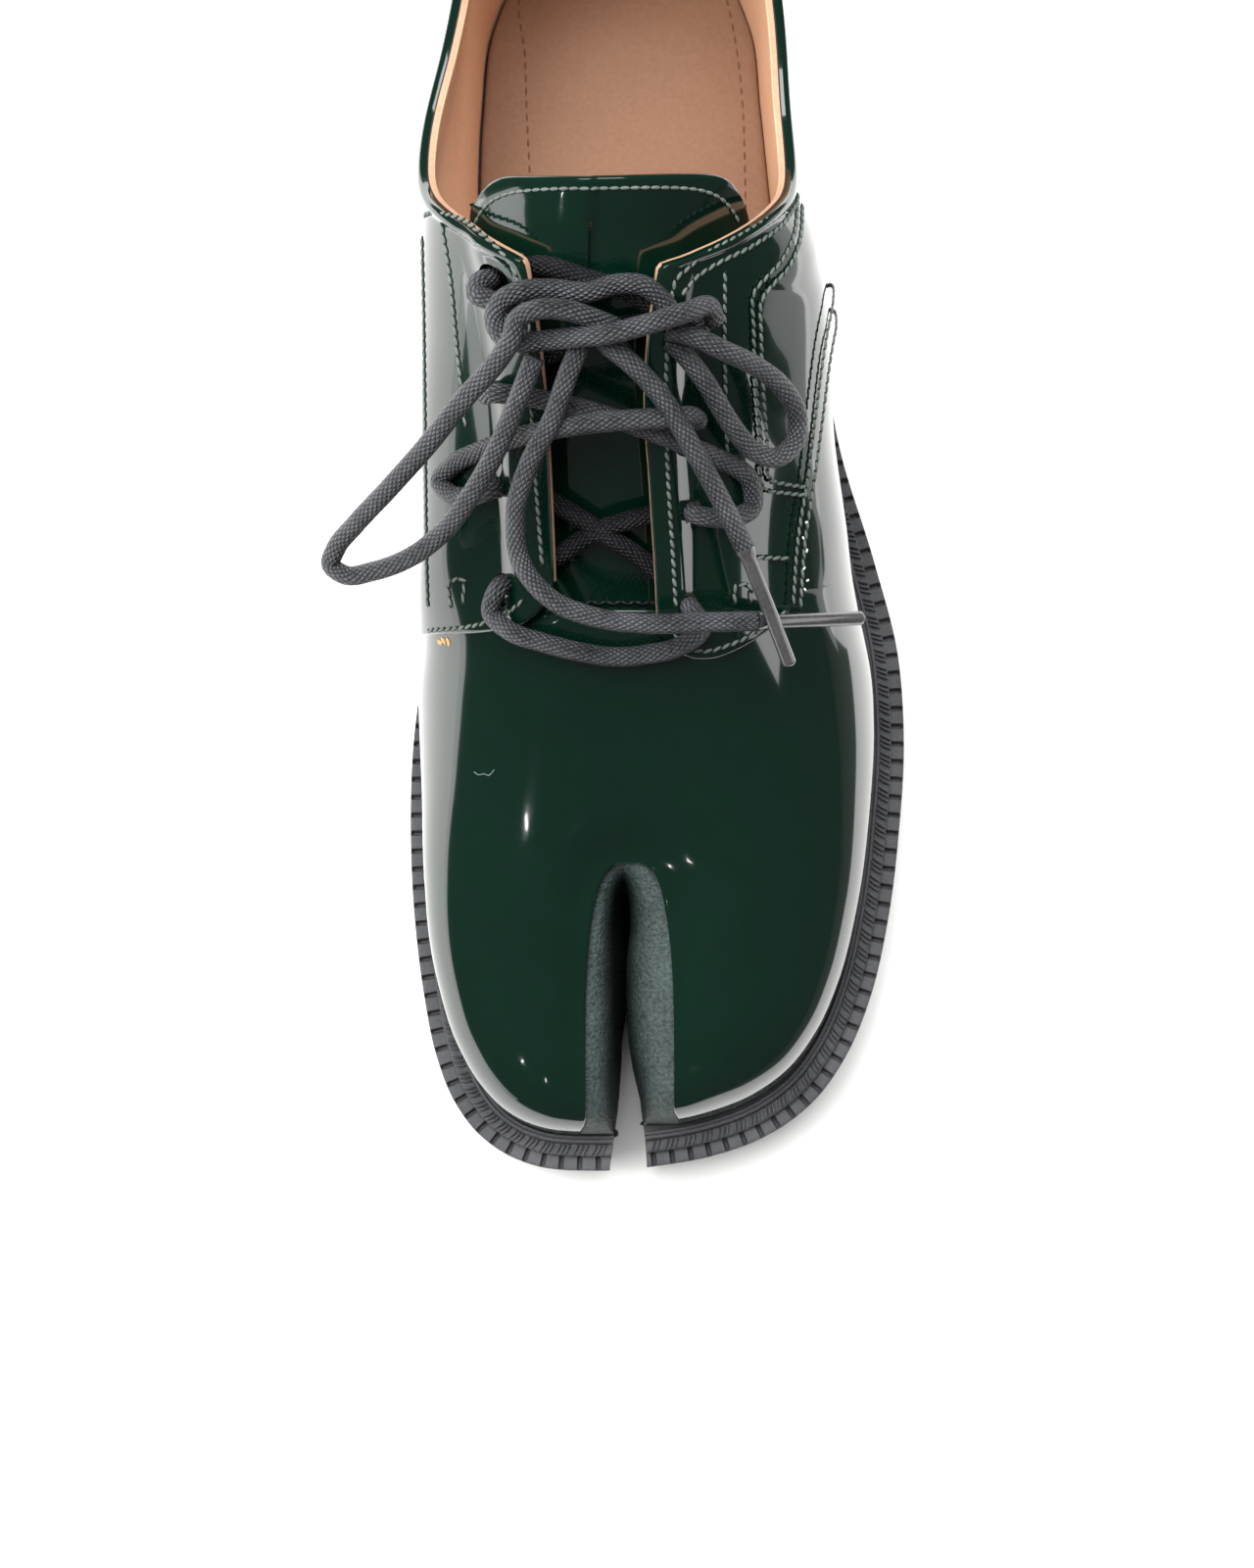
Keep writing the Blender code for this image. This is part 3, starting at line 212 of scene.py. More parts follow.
def add_piece(name, points, faces, skins, slot, nodes=(), face_skin=None, corner_uv=None, sharp=35.0):
    """Puts a grid into a mesh at the shoe's place, merges its seams and turns its faces outwards."""
    mesh = bpy.data.meshes.new(name)
    mesh.from_pydata(to_metres(points).reshape(-1, 3).tolist(), [], np.asarray(faces).tolist())
    for skin in skins:
        mesh.materials.append(skin)
    if face_skin is not None:
        mesh.polygons.foreach_set("material_index", np.asarray(face_skin, np.int32))
    if corner_uv is not None:
        layer = mesh.uv_layers.new(name="run")
        layer.data.foreach_set("uv", np.asarray(corner_uv, np.float32).ravel())
    sew(mesh)
    mesh.polygons.foreach_set("use_smooth", np.ones(len(mesh.polygons), bool))
    mesh.set_sharp_from_angle(angle=math.radians(sharp))
    made = put_in_scene(name, mesh)
    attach(made, "root")
    if nodes:
        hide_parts(*nodes)
    return made


def apply_modifiers(made):
    """Keeps the modified mesh on the piece and drops the modifiers."""
    bpy.context.view_layer.update()
    graph = bpy.context.evaluated_depsgraph_get()
    mesh = bpy.data.meshes.new_from_object(made.evaluated_get(graph))
    made.modifiers.clear()
    made.data = mesh


def cut_away(made, cutters):
    """Takes closed shapes out of a piece and removes the shapes."""
    for cutter in cutters:
        modifier = made.modifiers.new("cut", "BOOLEAN")
        modifier.operation = "DIFFERENCE"
        modifier.solver = "MANIFOLD"
        modifier.object = cutter
    apply_modifiers(made)
    for cutter in cutters:
        bpy.data.objects.remove(cutter, do_unlink=True)


def closed_prism(name, bottom, top):
    """Closed shape between two like rings of points, made to cut with."""
    n = len(bottom)
    ring = np.arange(n)
    sides = np.stack((ring, (ring + 1) % n, n + (ring + 1) % n, n + ring), axis=-1).tolist()
    mesh = bpy.data.meshes.new(name)
    mesh.from_pydata(to_metres(np.vstack((bottom, top))).tolist(), [],
                     sides + [ring[::-1].tolist(), (n + ring).tolist()])
    sew(mesh)
    return put_in_scene(name, mesh)


SLIT_CENTRE, SLIT_END = -6.3, 58.0
SLIT_TABLE = Table("from_toe half", (
    (0.0, 3.7), (6.0, 3.5), (14.0, 2.5), (24.0, 1.8), (43.0, 1.4), (58.0, 1.2)))
SLIT_FRONT, SLIT_ROUND_FROM = -14.0, 40.0
SLIT_BOTTOM, SLIT_TOP = -20.0, 70.0
SLIT_FLARE, LATERAL_FLARE, FLARE_LENGTH = 0.7, 0.2, 6.0


def slit_half(from_toe):
    """Half width of the split at the sole, narrowing to a rounded back end."""
    u = np.clip(from_toe / SLIT_END, 0.0, 1.0)
    return SLIT_TABLE.read("half", from_toe) * np.sqrt(1.0 - u**12)


def slit_shape(grow):
    """Upright prism over the slit's plan, widened by a clearance and chamfered at the toe."""
    rounded = SLIT_END * (1.0 - np.linspace(0.3, 0.0, 14) ** 2)
    back = np.concatenate((np.linspace(SLIT_FRONT, SLIT_ROUND_FROM, 19), rounded))
    wide = slit_half(np.maximum(back, 0.0)) + grow
    flare = SLIT_FLARE * np.clip(1.0 - back / FLARE_LENGTH, 0.0, 1.0)
    plan = np.vstack((np.column_stack((SLIT_CENTRE - wide - flare, back)),
                      np.column_stack((SLIT_CENTRE + wide + LATERAL_FLARE * flare, back))[::-1]))
    plan[len(back) - 1:len(back) + 1, 1] += grow
    bottom, top = [np.column_stack((plan, np.full(len(plan), z))) for z in (SLIT_BOTTOM, SLIT_TOP)]
    return closed_prism("slit", bottom, top)


class Nodes:
    """Short way to add shader nodes to one tree and link them."""

    def __init__(self, tree):
        self.tree = tree

    def add(self, kind, **settings):
        node = self.tree.nodes.new(kind)
        for name, value in settings.items():
            setattr(node, name, value)
        return node

    def link(self, output, socket):
        self.tree.links.new(output, socket)

    def math(self, operation, first, second=None):
        node = self.add("ShaderNodeMath", operation=operation)
        for socket, value in zip(node.inputs, (first, second)):
            if value is None:
                continue
            if isinstance(value, (int, float)):
                socket.default_value = value
            else:
                self.link(value, socket)
        return node.outputs[0]


def speckle_group():
    """Node group: fine and coarse noise on Object coordinates, mixed into a mask around 0.5."""
    tree = bpy.data.node_groups.new("speckle", "ShaderNodeTree")
    for name, value in (("Coarse", 40.0), ("Fine", 900.0), ("Share", 0.5)):
        socket = tree.interface.new_socket(name, in_out="INPUT", socket_type="NodeSocketFloat")
        socket.default_value = value
    for name in ("Mask", "Grain"):
        tree.interface.new_socket(name, in_out="OUTPUT", socket_type="NodeSocketFloat")
    n = Nodes(tree)
    start, end = n.add("NodeGroupInput"), n.add("NodeGroupOutput")
    place = n.add("ShaderNodeTexCoord")
    coarse = n.add("ShaderNodeTexNoise")
    fine = n.add("ShaderNodeTexNoise")
    for noise, name in ((coarse, "Coarse"), (fine, "Fine")):
        n.link(place.outputs["Object"], noise.inputs["Vector"])
        n.link(start.outputs[name], noise.inputs["Scale"])
        noise.inputs["Detail"].default_value = 4.0
    blend = n.add("ShaderNodeMix")
    n.link(start.outputs["Share"], blend.inputs["Factor"])
    n.link(coarse.outputs["Fac"], blend.inputs["A"])
    n.link(fine.outputs["Fac"], blend.inputs["B"])
    n.link(blend.outputs["Result"], end.inputs["Mask"])
    n.link(fine.outputs["Fac"], end.inputs["Grain"])
    return tree


SPECKLE = speckle_group()
RAMP_STOPS = (0.3, 0.7)
LEAST_ROUGHNESS = 0.02


def finish(name, dark, light, roughness, grain=(40.0, 900.0, 0.5), bump=0.0002, strength=0.4,
           rough_spread=0.1, **sockets):
    """Principled material whose colour and roughness drift between two values with a speckle mask."""
    made = bpy.data.materials.new(name)
    made.use_nodes = True
    n = Nodes(made.node_tree)
    shader = made.node_tree.nodes["Principled BSDF"]
    for socket, value in sockets.items():
        shader.inputs[socket.replace("_", " ")].default_value = value
    mask = n.add("ShaderNodeGroup", node_tree=SPECKLE)
    for socket, value in zip(("Coarse", "Fine", "Share"), grain):
        mask.inputs[socket].default_value = value
    colour = n.add("ShaderNodeValToRGB")
    for stop, position, tone in zip(colour.color_ramp.elements, RAMP_STOPS, (dark, light)):
        stop.position = position
        stop.color = (*tone, 1.0)
    n.link(mask.outputs["Mask"], colour.inputs["Fac"])
    n.link(colour.outputs["Color"], shader.inputs["Base Color"])
    rough = n.add("ShaderNodeMapRange")
    rough.inputs["To Min"].default_value = max(roughness - rough_spread, LEAST_ROUGHNESS)
    rough.inputs["To Max"].default_value = roughness + rough_spread
    n.link(mask.outputs["Mask"], rough.inputs["Value"])
    n.link(rough.outputs["Result"], shader.inputs["Roughness"])
    height = n.add("ShaderNodeBump")
    height.inputs["Strength"].default_value = strength
    height.inputs["Distance"].default_value = bump
    n.link(mask.outputs["Grain"], height.inputs["Height"])
    n.link(height.outputs["Normal"], shader.inputs["Normal"])
    return made


RUBBER = finish("matte_black_rubber", (0.038, 0.039, 0.0415), (0.072, 0.073, 0.077), 0.62,
                grain=(60.0, 1400.0, 0.45), bump=0.00015)
NOMINAL_PITCH = 4.05
BLOCKS = int(round(CIRCUIT / NOMINAL_PITCH))
BLOCK_PITCH = CIRCUIT / BLOCKS
GROOVE_HALF, GROOVE_DEPTH, GROOVE_FLOOR, GROOVE_LIP = 0.5, 1.5, 0.45, 1.25
GROOVE_STOPS = np.array((-0.5, -0.46, -0.34, -0.24, -0.16, -0.125, -0.10, -0.05, 0.0, 0.05, 0.10, 0.125,
                         0.16, 0.24, 0.34, 0.46))
LEDGE_SHARE = 0.38
RIM_AT_TOE = 8.0
OUTSOLE_RIM = Table("inset drop grooved", (
    (2.95, 0.0, 0.6), (2.75, 0.0, 1.0), (1.5, 0.0, 1.0), (0.62, 0.0, 1.0), (0.38, 0.04, 0.7),
    (0.12, 0.22, 0.15), (0.0, 0.5, 0.0)))
INNER_SHARES = (0.4, 0.75, 1.0)
SIDE_SHARES = (0.2, 0.45, 0.58, 0.62, 0.65, 0.95)
SIDE_STEP, STEP_STARTS, STEP_FULL, STEP_FADES = 0.35, 0.585, 0.645, 0.9
UNDER_INSET = 0.5


def groove_depth(distance):
    """Depth of the grooves between the blocks: flat floor, steep walls with a small rounding at the lip."""
    off = np.abs(np.mod(distance / BLOCK_PITCH, 1.0) - 0.5) * BLOCK_PITCH
    return GROOVE_DEPTH * (1.0 - ease(GROOVE_HALF * GROOVE_FLOOR, GROOVE_HALF * GROOVE_LIP, off))


def outsole_surface():
    """Rows from the middle of the top face out over the rim, down the side and back below.

    Each row is the outline moved in by its inset; the rim rows sink by the groove depth, the inner rows
    shrink to the spine.
    """
    along = ((np.arange(BLOCKS)[:, None] + 0.5 + GROOVE_STOPS) * BLOCK_PITCH).ravel()
    groove = groove_depth(along)
    rim = round_shoe(along, RIM)
    inner = rim_plan(along, LEDGE_SHARE * rim)
    spine = last("spine_x", np.clip(inner[:, 1], 0.0, SHOE_LENGTH))
    meet = np.round(inner[:, 1])
    plans = [np.column_stack((last("spine_x", meet), meet))]
    for share in INNER_SHARES:
        plans.append(np.column_stack((spine + (inner[:, 0] - spine) * share, inner[:, 1])))
    rows = [np.column_stack((plan, seat_z(plan[:, 1]))) for plan in plans]
    for inset, drop, grooved in OUTSOLE_RIM.rows:
        plan = rim_plan(along, inset * rim / RIM_AT_TOE)
        rows.append(np.column_stack((plan, seat_z(plan[:, 1]) - drop - groove * grooved)))
    for share in SIDE_SHARES:
        step_in = SIDE_STEP * ease(STEP_STARTS, STEP_FULL, share) * (1.0 - ease(STEP_FADES, 1.0, share))
        side = rim_plan(along, step_in)
        high, low = seat_z(side[:, 1]), ground_z(side[:, 1])
        rows.append(np.column_stack((side, high + (low - high) * share)))
    for plan in [rim_plan(along, UNDER_INSET)] + plans[::-1]:
        rows.append(np.column_stack((plan, ground_z(plan[:, 1]))))
    return np.stack(rows)


sole = outsole_surface()
outsole = add_piece("outsole_blocks", sole, quads(*sole.shape[:2], loop_columns=True), [RUBBER],
                    "black_rubber", nodes=("outsole",), sharp=28.0)
cut_away(outsole, [slit_shape(0.0)])

# Heel: a rubber block under the back of the sole, its breast hollowed, with a thin top piece on the floor.
# It is cemented to the outsole; its side is turned smooth with one groove above the top piece.
HEEL_BREAST, BREAST_HOLLOW, BREAST_POINTS = 203.0, 4.0, 30
HEEL_INSET, HEEL_GAP = 1.2, 0.3
HEEL_SIDE = Table("share_down inset", (
    (0.0, 0.25), (0.015, 0.05), (0.03, 0.0), (0.40, 0.1), (0.70, 0.25), (0.735, 0.30), (0.742, 0.75),
    (0.755, 0.75), (0.762, 0.32), (0.96, 0.45), (0.99, 0.6), (1.0, 0.95)))


def heel_surface():
    """Plan of the heel, shrunk towards its middle row by row from the outsole down to the floor."""
    keep = rim_plan(AROUND[:-1], HEEL_INSET)
    medial, lateral = keep[:HEEL_INDEX + 1], keep[HEEL_INDEX:]
    medial = medial[medial[:, 1] > HEEL_BREAST]
    lateral = lateral[lateral[:, 1] > HEEL_BREAST]
    across = np.linspace(1.0, -1.0, BREAST_POINTS)[1:-1]
    middle = 0.5 * (medial[0, 0] + lateral[-1, 0])
    wide = 0.5 * (lateral[-1, 0] - medial[0, 0])
    breast = np.column_stack((middle + wide * across, HEEL_BREAST + BREAST_HOLLOW * (1.0 - across**2)))
    plan = np.vstack((medial, lateral[1:], breast))
    centre = np.broadcast_to(plan.mean(axis=0), plan.shape)
    away = unit(plan - centre)
    high = ground_z(plan[:, 1]) - HEEL_GAP
    rows = [np.column_stack((centre, high))]
    for share, inset in HEEL_SIDE.rows:
        rows.append(np.column_stack((plan - away * inset, high * (1.0 - share))))
    rows.append(np.column_stack((centre, np.zeros(len(plan)))))
    return np.stack(rows)


heel_block = heel_surface()
add_piece("heel_block", heel_block, quads(*heel_block.shape[:2], loop_columns=True), [RUBBER],
          "black_rubber", nodes=("heel",))

# Welt: the rubber strip that runs round the foot of the upper, moulded with two beads against the leather.
# Outside the beads lies a bed of moulded slanting strands, three to a block, like a row of stitches.
WELT_GAP, WELT_STATIONS = 0.5, 900
WELT_SECTION = Table("share height", (
    (0.0, 0.3), (0.0, 2.9), (0.03, 3.3), (0.08, 3.55), (0.14, 3.5), (0.18, 3.15), (0.20, 2.95), (0.22, 3.05),
    (0.26, 3.3), (0.32, 3.25), (0.37, 2.9), (0.41, 2.2), (0.45, 1.6), (0.55, 1.5), (0.70, 1.5), (0.85, 1.5),
    (0.95, 1.4), (1.0, 1.1), (1.0, 0.3)))


def welt_plan(distance, share):
    """Plan point across the welt: share 0 at the upper, 1 at the sole's blocks."""
    rim = round_shoe(distance, RIM)
    return rim_plan(distance, (rim - WELT_GAP) + (LEDGE_SHARE * rim - rim + WELT_GAP) * share)


def welt_surface():
    """The welt's section carried round the shoe on the seat of the sole."""
    along = np.linspace(0.0, CIRCUIT, WELT_STATIONS, endpoint=False)
    rows = []
    for share, height in WELT_SECTION.rows:
        plan = welt_plan(along, share)
        rows.append(np.column_stack((plan, seat_z(plan[:, 1]) + height)))
    return np.stack(rows)


strip = welt_surface()
welt = add_piece("welt_strip", strip, quads(*strip.shape[:2], True, True), [RUBBER], "black_rubber",
                 nodes=("welt",), sharp=60.0)
cut_away(welt, [slit_shape(0.0)])
FULL_TURN = 2.0 * math.pi
UPWARD = np.array((0.0, 0.0, 1.0))
BEAD_RINGS, BEAD_SIDES = 5, 6
BEAD_ENDS = np.array(((0, 1, 2, 5), (2, 3, 4, 5)))


def beads(centre, along, up, length, width, height):
    """Many small round-ended ridges: an ellipsoid grid set at each centre along its own directions."""
    across = np.cross(up, along)
    lean = np.linspace(0.06, 0.94, BEAD_RINGS) * math.pi
    spin = np.linspace(0.0, FULL_TURN, BEAD_SIDES, endpoint=False)
    a = np.repeat(-np.cos(lean), BEAD_SIDES) * length / 2.0
    b = np.outer(np.sin(lean), np.cos(spin)).ravel() * width / 2.0
    c = np.outer(np.sin(lean), np.sin(spin)).ravel() * height / 2.0
    points = (centre[:, None] + along[:, None] * a[:, None] + across[:, None] * b[:, None]
              + up[:, None] * c[:, None])
    far_end = BEAD_ENDS + (BEAD_RINGS - 1) * BEAD_SIDES
    one = np.vstack((quads(BEAD_RINGS, BEAD_SIDES, loop_columns=True), BEAD_ENDS[:, ::-1], far_end))
    faces = one + (np.arange(len(centre)) * BEAD_RINGS * BEAD_SIDES)[:, None, None]
    return points.reshape(-1, 3), faces.reshape(-1, 4)


def add_beads(name, bead_mesh, skin, slot):
    """Puts one group of beads into the scene as a piece."""
    add_piece(name, *bead_mesh, [skin], slot, sharp=80.0)


STRANDS_PER_BLOCK, FIRST_STRAND, STRAND_STEP, STRAND_SLANT = 3, 0.22, 0.27, 0.55
BED_INNER, BED_OUTER, STRAND_HEIGHT = 0.47, 0.97, 1.75
STRAND_SIZE = (2.75, 0.66, 1.5)
SLIT_CLEARANCE, BEHIND_SLIT = 0.9, SLIT_END + 2.0


def welt_strands():
    """Slanting strands on the stitch bed: each leans forward across the bed, none hangs in the slit."""
    number = np.arange(STRANDS_PER_BLOCK)
    place = ((np.arange(BLOCKS)[:, None] + FIRST_STRAND + STRAND_STEP * number) * BLOCK_PITCH).ravel()
    inner, outer = welt_plan(place - STRAND_SLANT, BED_INNER), welt_plan(place + STRAND_SLANT, BED_OUTER)
    middle = 0.5 * (inner + outer)
    centre = np.column_stack((middle, seat_z(middle[:, 1]) + STRAND_HEIGHT))
    along = unit(np.column_stack((outer - inner, np.zeros(len(place)))))
    up = np.broadcast_to(UPWARD, centre.shape)
    beside = np.abs(middle[:, 0] - SLIT_CENTRE) - SLIT_CLEARANCE
    clear = (beside > slit_half(np.maximum(middle[:, 1], 0.0))) | (middle[:, 1] > BEHIND_SLIT)
    return beads(centre[clear], along[clear], up[clear], *STRAND_SIZE)


add_beads("welt_strands", welt_strands(), RUBBER, "black_rubber")

# Vamp: the green patent front of the upper, lasted over two toe lobes with the split between them.
# It runs back under both quarters; its edge at the split is turned in over the gusset.
SLOT_HALF, SLOT_STRAIGHT, SLOT_END, SLOT_FAN = 9.3, 20.0, 63.5, 14.5
TOE_SPACING = 1.2
SLOT_EDGE_DROP, SLOT_EDGE_REACH, SLOT_CORNER = 3.2, 7.0, 0.9
TOE_FAN, HEEL_FAN, FAN_SOFTNESS = 45.0, 232.0, 5.0
TOE_FAN_SHARE, HEEL_FAN_SHARE = 0.7, 0.75
FOOT_FRONT, FOOT_BACK = 20.0, 262.0
LAST_BASE = 0.3
BOW_STARTS, BOW_FULL, BOW_ENDS, BOW_LEAN = 0.03, 0.30, 1.25, 1.5
INSTEP_STARTS, INSTEP_FULL = 100.0, 128.0
LEAN_BELOW, LEAN_ABOVE, LEAN_GONE = 26.0, 3.0, 18.0
TOPLINE = Table("from_toe height", (
    (100.0, 160.0), (160.0, 118.0), (166.0, 111.0), (172.0, 106.5), (179.0, 102.0), (186.0, 96.5),
    (192.0, 91.0), (198.0, 86.5), (207.0, 83.0), (220.0, 82.5), (235.0, 84.5), (255.0, 89.5),
    (270.0, 93.0), (286.0, 94.5)))
LEAN = Table("from_toe medial lateral", (
    (164.0, 0.0, 0.0), (174.0, 0.0, 1.2), (184.0, 0.2, 3.4), (194.0, 0.5, 4.4), (210.0, 1.4, 4.3),
    (225.0, 2.6, 3.8), (245.0, 2.4, 2.8), (268.0, 0.0, 0.0), (286.0, 0.0, 0.0)))


def one_side(loop, side):
    """One side of a loop, from the toe tip to the back of the heel."""
    return loop[:HEEL_INDEX + 1] if side == MEDIAL else np.vstack((loop[:1], loop[:HEEL_INDEX - 1:-1]))


def foot_at(side, from_toe):
    """Feather line points of one side at distances from the toe, between the two fans."""
    line = one_side(FEATHER, side)
    line = line[(line[:, 1] > FOOT_FRONT) & (line[:, 1] < FOOT_BACK)]
    t = np.asarray(from_toe, float)
    return np.stack((np.interp(t, line[:, 1], line[:, 0]), t), axis=-1)


def at_distance(want, length, values):
    """Rows of an array at wanted distances along a line, by linear interpolation."""
    return np.column_stack([np.interp(want, length, column) for column in values.T])


def along_line(line, shares):
    """Points of a line at shares of its length."""
    length = run_length(line)
    return at_distance(np.asarray(shares) * length[-1], length, line)


def soft_ramp(value, softness):
    """Smooth ramp: nearly 0 below zero, nearly the value itself above it."""
    return softness * np.log1p(np.exp(value / softness))


def spine_station(from_toe):
    """Where a rib meets the spine: ribs fan out at the toe and the heel."""
    toe = soft_ramp(TOE_FAN - from_toe, FAN_SOFTNESS)
    heel = soft_ramp(from_toe - HEEL_FAN, FAN_SOFTNESS)
    return from_toe + TOE_FAN_SHARE * toe - HEEL_FAN_SHARE * heel


def slot_half(from_toe):
    """Half width of the split at the vamp: straight sides and a rounded back end."""
    u = np.clip((from_toe - SLOT_STRAIGHT) / (SLOT_END - SLOT_STRAIGHT), 0.0, 1.0)
    return SLOT_HALF * (1.0 - u**3) ** (1.0 / 3.0)


def last_face(side, foot, angle):
    """Face of the last: a superellipse rib from the feather line (angle 0) to the spine (a right angle).

    The bow fills the wall just above the welt on the vamp and lets it lean on the instep.
    The face rolls down beside the split and leans inwards below the collar.
    """
    at = foot[..., 1]
    station = spine_station(at)
    top = last("crest_z", station)
    power = 2.0 / last("full_" + SIDE_NAME[side], at)
    base = seat_z(at) + LAST_BASE
    run_x, run_y = last("spine_x", station) - foot[..., 0], station - at
    reach = np.hypot(run_x, run_y)
    full = ease(BOW_STARTS, BOW_FULL, angle) * (1.0 - ease(BOW_FULL, BOW_ENDS, angle))
    leaning = BOW_LEAN * (np.sin(2.0 * angle) * np.cos(angle)) ** 2
    filled = full + (leaning - full) * ease(INSTEP_STARTS, INSTEP_FULL, at)
    inward = reach * (1.0 - np.abs(np.cos(angle)) ** power) - last("bow_" + SIDE_NAME[side], at) * filled
    x = foot[..., 0] + run_x / reach * inward
    y = at + run_y / reach * inward
    z = base + (top - base) * np.sin(angle) ** power
    below = TOPLINE.read("height", y) - z
    lean = LEAN.read(SIDE_NAME[side], y) * (1.0 - ease(0.0, LEAN_BELOW, below))
    x = x - side * (lean * (1.0 - ease(LEAN_ABOVE, LEAN_GONE, -below)))
    beside = np.hypot(x - SLIT_CENTRE, np.maximum(y - SLOT_END + SLOT_HALF, 0.0)) - SLOT_HALF
    sink = SLOT_EDGE_DROP * np.exp(-(np.maximum(beside, 0.0) / SLOT_EDGE_REACH) ** 2) * np.sin(angle) ** 2
    return np.stack(np.broadcast_arrays(x, y, z - sink), axis=-1)


RIGHT_ANGLE = math.pi / 2.0
SWEEP = np.linspace(0.0, RIGHT_ANGLE, 721)


def sweep_angle(before, after, k):
    """Angle at which a value falls to zero between two steps of the sweep."""
    share = np.clip(before / np.where(before == after, 1.0, before - after), 0.0, 1.0)
    return SWEEP[k - 1] + share * (SWEEP[k] - SWEEP[k - 1])


def first_meet(side, feet, gap):
    """Angle at which each rib first makes gap(points) negative, by linear interpolation on a fine sweep."""
    value = gap(last_face(side, feet[:, None, :], SWEEP))
    met = value < 0.0
    k = np.clip(np.argmax(met, axis=1), 1, len(SWEEP) - 1)
    row = np.arange(len(feet))
    return np.where(met.any(axis=1), sweep_angle(value[row, k - 1], value[row, k], k), RIGHT_ANGLE)


def slot_angle(side, feet):
    """Angle at which each rib reaches the edge of the split."""
    def gap(p):
        return np.where(p[..., 1] < SLOT_END, np.abs(p[..., 0] - SLIT_CENTRE) - slot_half(p[..., 1]), 1.0)
    return first_meet(side, feet, gap)


THROAT_END = 180.0
THROAT = Table("from_toe half", (
    (100.0, 10.0), (118.0, 9.7), (135.0, 9.3), (150.0, 9.1), (166.0, 10.8), (180.0, 14.0)))
QUARTER_EDGE = Table("girth medial lateral lateral_step", (
    (0.00, 117.0, 128.0, 0.0), (0.30, 113.0, 124.0, 0.0), (0.50, 111.3, 119.0, 0.0),
    (0.62, 110.2, 114.3, 0.0), (0.71, 109.8, 109.4, 0.6), (0.81, 110.1, 105.1, 1.0),
    (0.88, 111.0, 103.3, 1.0), (0.95, 113.8, 104.2, 1.0), (1.00, 118.0, 108.0, 1.0)))


def quarter_edge(side, girth):
    """Distance from the toe of the quarter's front edge, by the share of the rib."""
    return QUARTER_EDGE.read(SIDE_NAME[side], girth)


def throat_angle(side, feet):
    """Angle at which each rib reaches the throat."""
    def gap(p):
        beside = np.abs(p[..., 0] - last("spine_x", p[..., 1])) - THROAT.read("half", p[..., 1])
        return np.where(p[..., 1] < THROAT_END, beside, 1.0)
    return first_meet(side, feet, gap)


def topline_angle(side, feet):
    """Angle at which each rib reaches the collar."""
    def gap(p):
        return TOPLINE.read("height", p[..., 1]) - p[..., 2]
    return first_meet(side, feet, gap)


def toe_feet(side, count):
    """Feather points from the corner of the split round the toe."""
    line = one_side(FEATHER, side)
    off = np.abs(line[:, 0] - SLIT_CENTRE)
    line = line[(off > SLOT_HALF + SLOT_CORNER) & (line[:, 1] < SLOT_END - SLOT_FAN)]
    return along_line(line, np.linspace(0.0, 1.0, count) ** TOE_SPACING)


def lobe_feet(side, count):
    """Feather points from the round of the toe to the back of the split, closer together towards it."""
    return foot_at(side, SLOT_END - SLOT_FAN * np.linspace(1.0, 0.0, count) ** 2)


def core(from_toe, height):
    """Points inside the foot, under the spine."""
    return np.stack((last("spine_x", from_toe), from_toe, np.full(np.shape(from_toe), height)), axis=-1)


VAMP_BACK, VAMP_TUCK, UNDER_QUARTER, VAMP_CORE = 112.0, 9.0, 0.9, 20.0
EDGE_EVENS_OUT, TUCK_LENGTH, TUCK_FADES = (0.80, 0.93), 3.0, (0.82, 0.9)


def vamp_surface(side):
    """Ribs from the welt to the split or the spine; behind, the columns lean with the quarter's edge."""
    share = np.linspace(0.0, 1.0, 64)
    lobe = np.vstack((toe_feet(side, 60), lobe_feet(side, 40)[:-1]))
    front = last_face(side, lobe[:, None, :], slot_angle(side, lobe)[:, None] * share)
    lead = np.linspace(0.0, 1.0, 56)
    edge = quarter_edge(side, share) + VAMP_TUCK
    edge = edge + (VAMP_BACK - edge) * ease(*EDGE_EVENS_OUT, share)
    station = SLOT_END + (edge - SLOT_END) * lead[:, None]
    back = last_face(side, foot_at(side, station), share * RIGHT_ANGLE)
    past_edge = station - quarter_edge(side, share)
    tucked = ease(0.0, TUCK_LENGTH, past_edge) * (1.0 - ease(*TUCK_FADES, share))
    inward = unit(core(station, VAMP_CORE) - back)
    return np.concatenate((front, back + inward * (tucked * UNDER_QUARTER)[..., None]))


def face_up(made, leading):
    """Turns a sheet over if its leading face, the one with the greatest value, looks down."""
    work = bmesh.new()
    work.from_mesh(made.data)
    if max(work.faces, key=leading).normal.z < 0.0:
        bmesh.ops.reverse_faces(work, faces=work.faces)
    work.to_mesh(made.data)
    work.free()


def thicken(made, thickness, inner_skin=0):
    """Gives a sheet its thickness on its inner side, which may have a skin of its own."""
    wall = made.modifiers.new("wall", "SOLIDIFY")
    wall.thickness = thickness * MILLIMETRE
    wall.offset = -1.0
    wall.material_offset = inner_skin
    apply_modifiers(made)


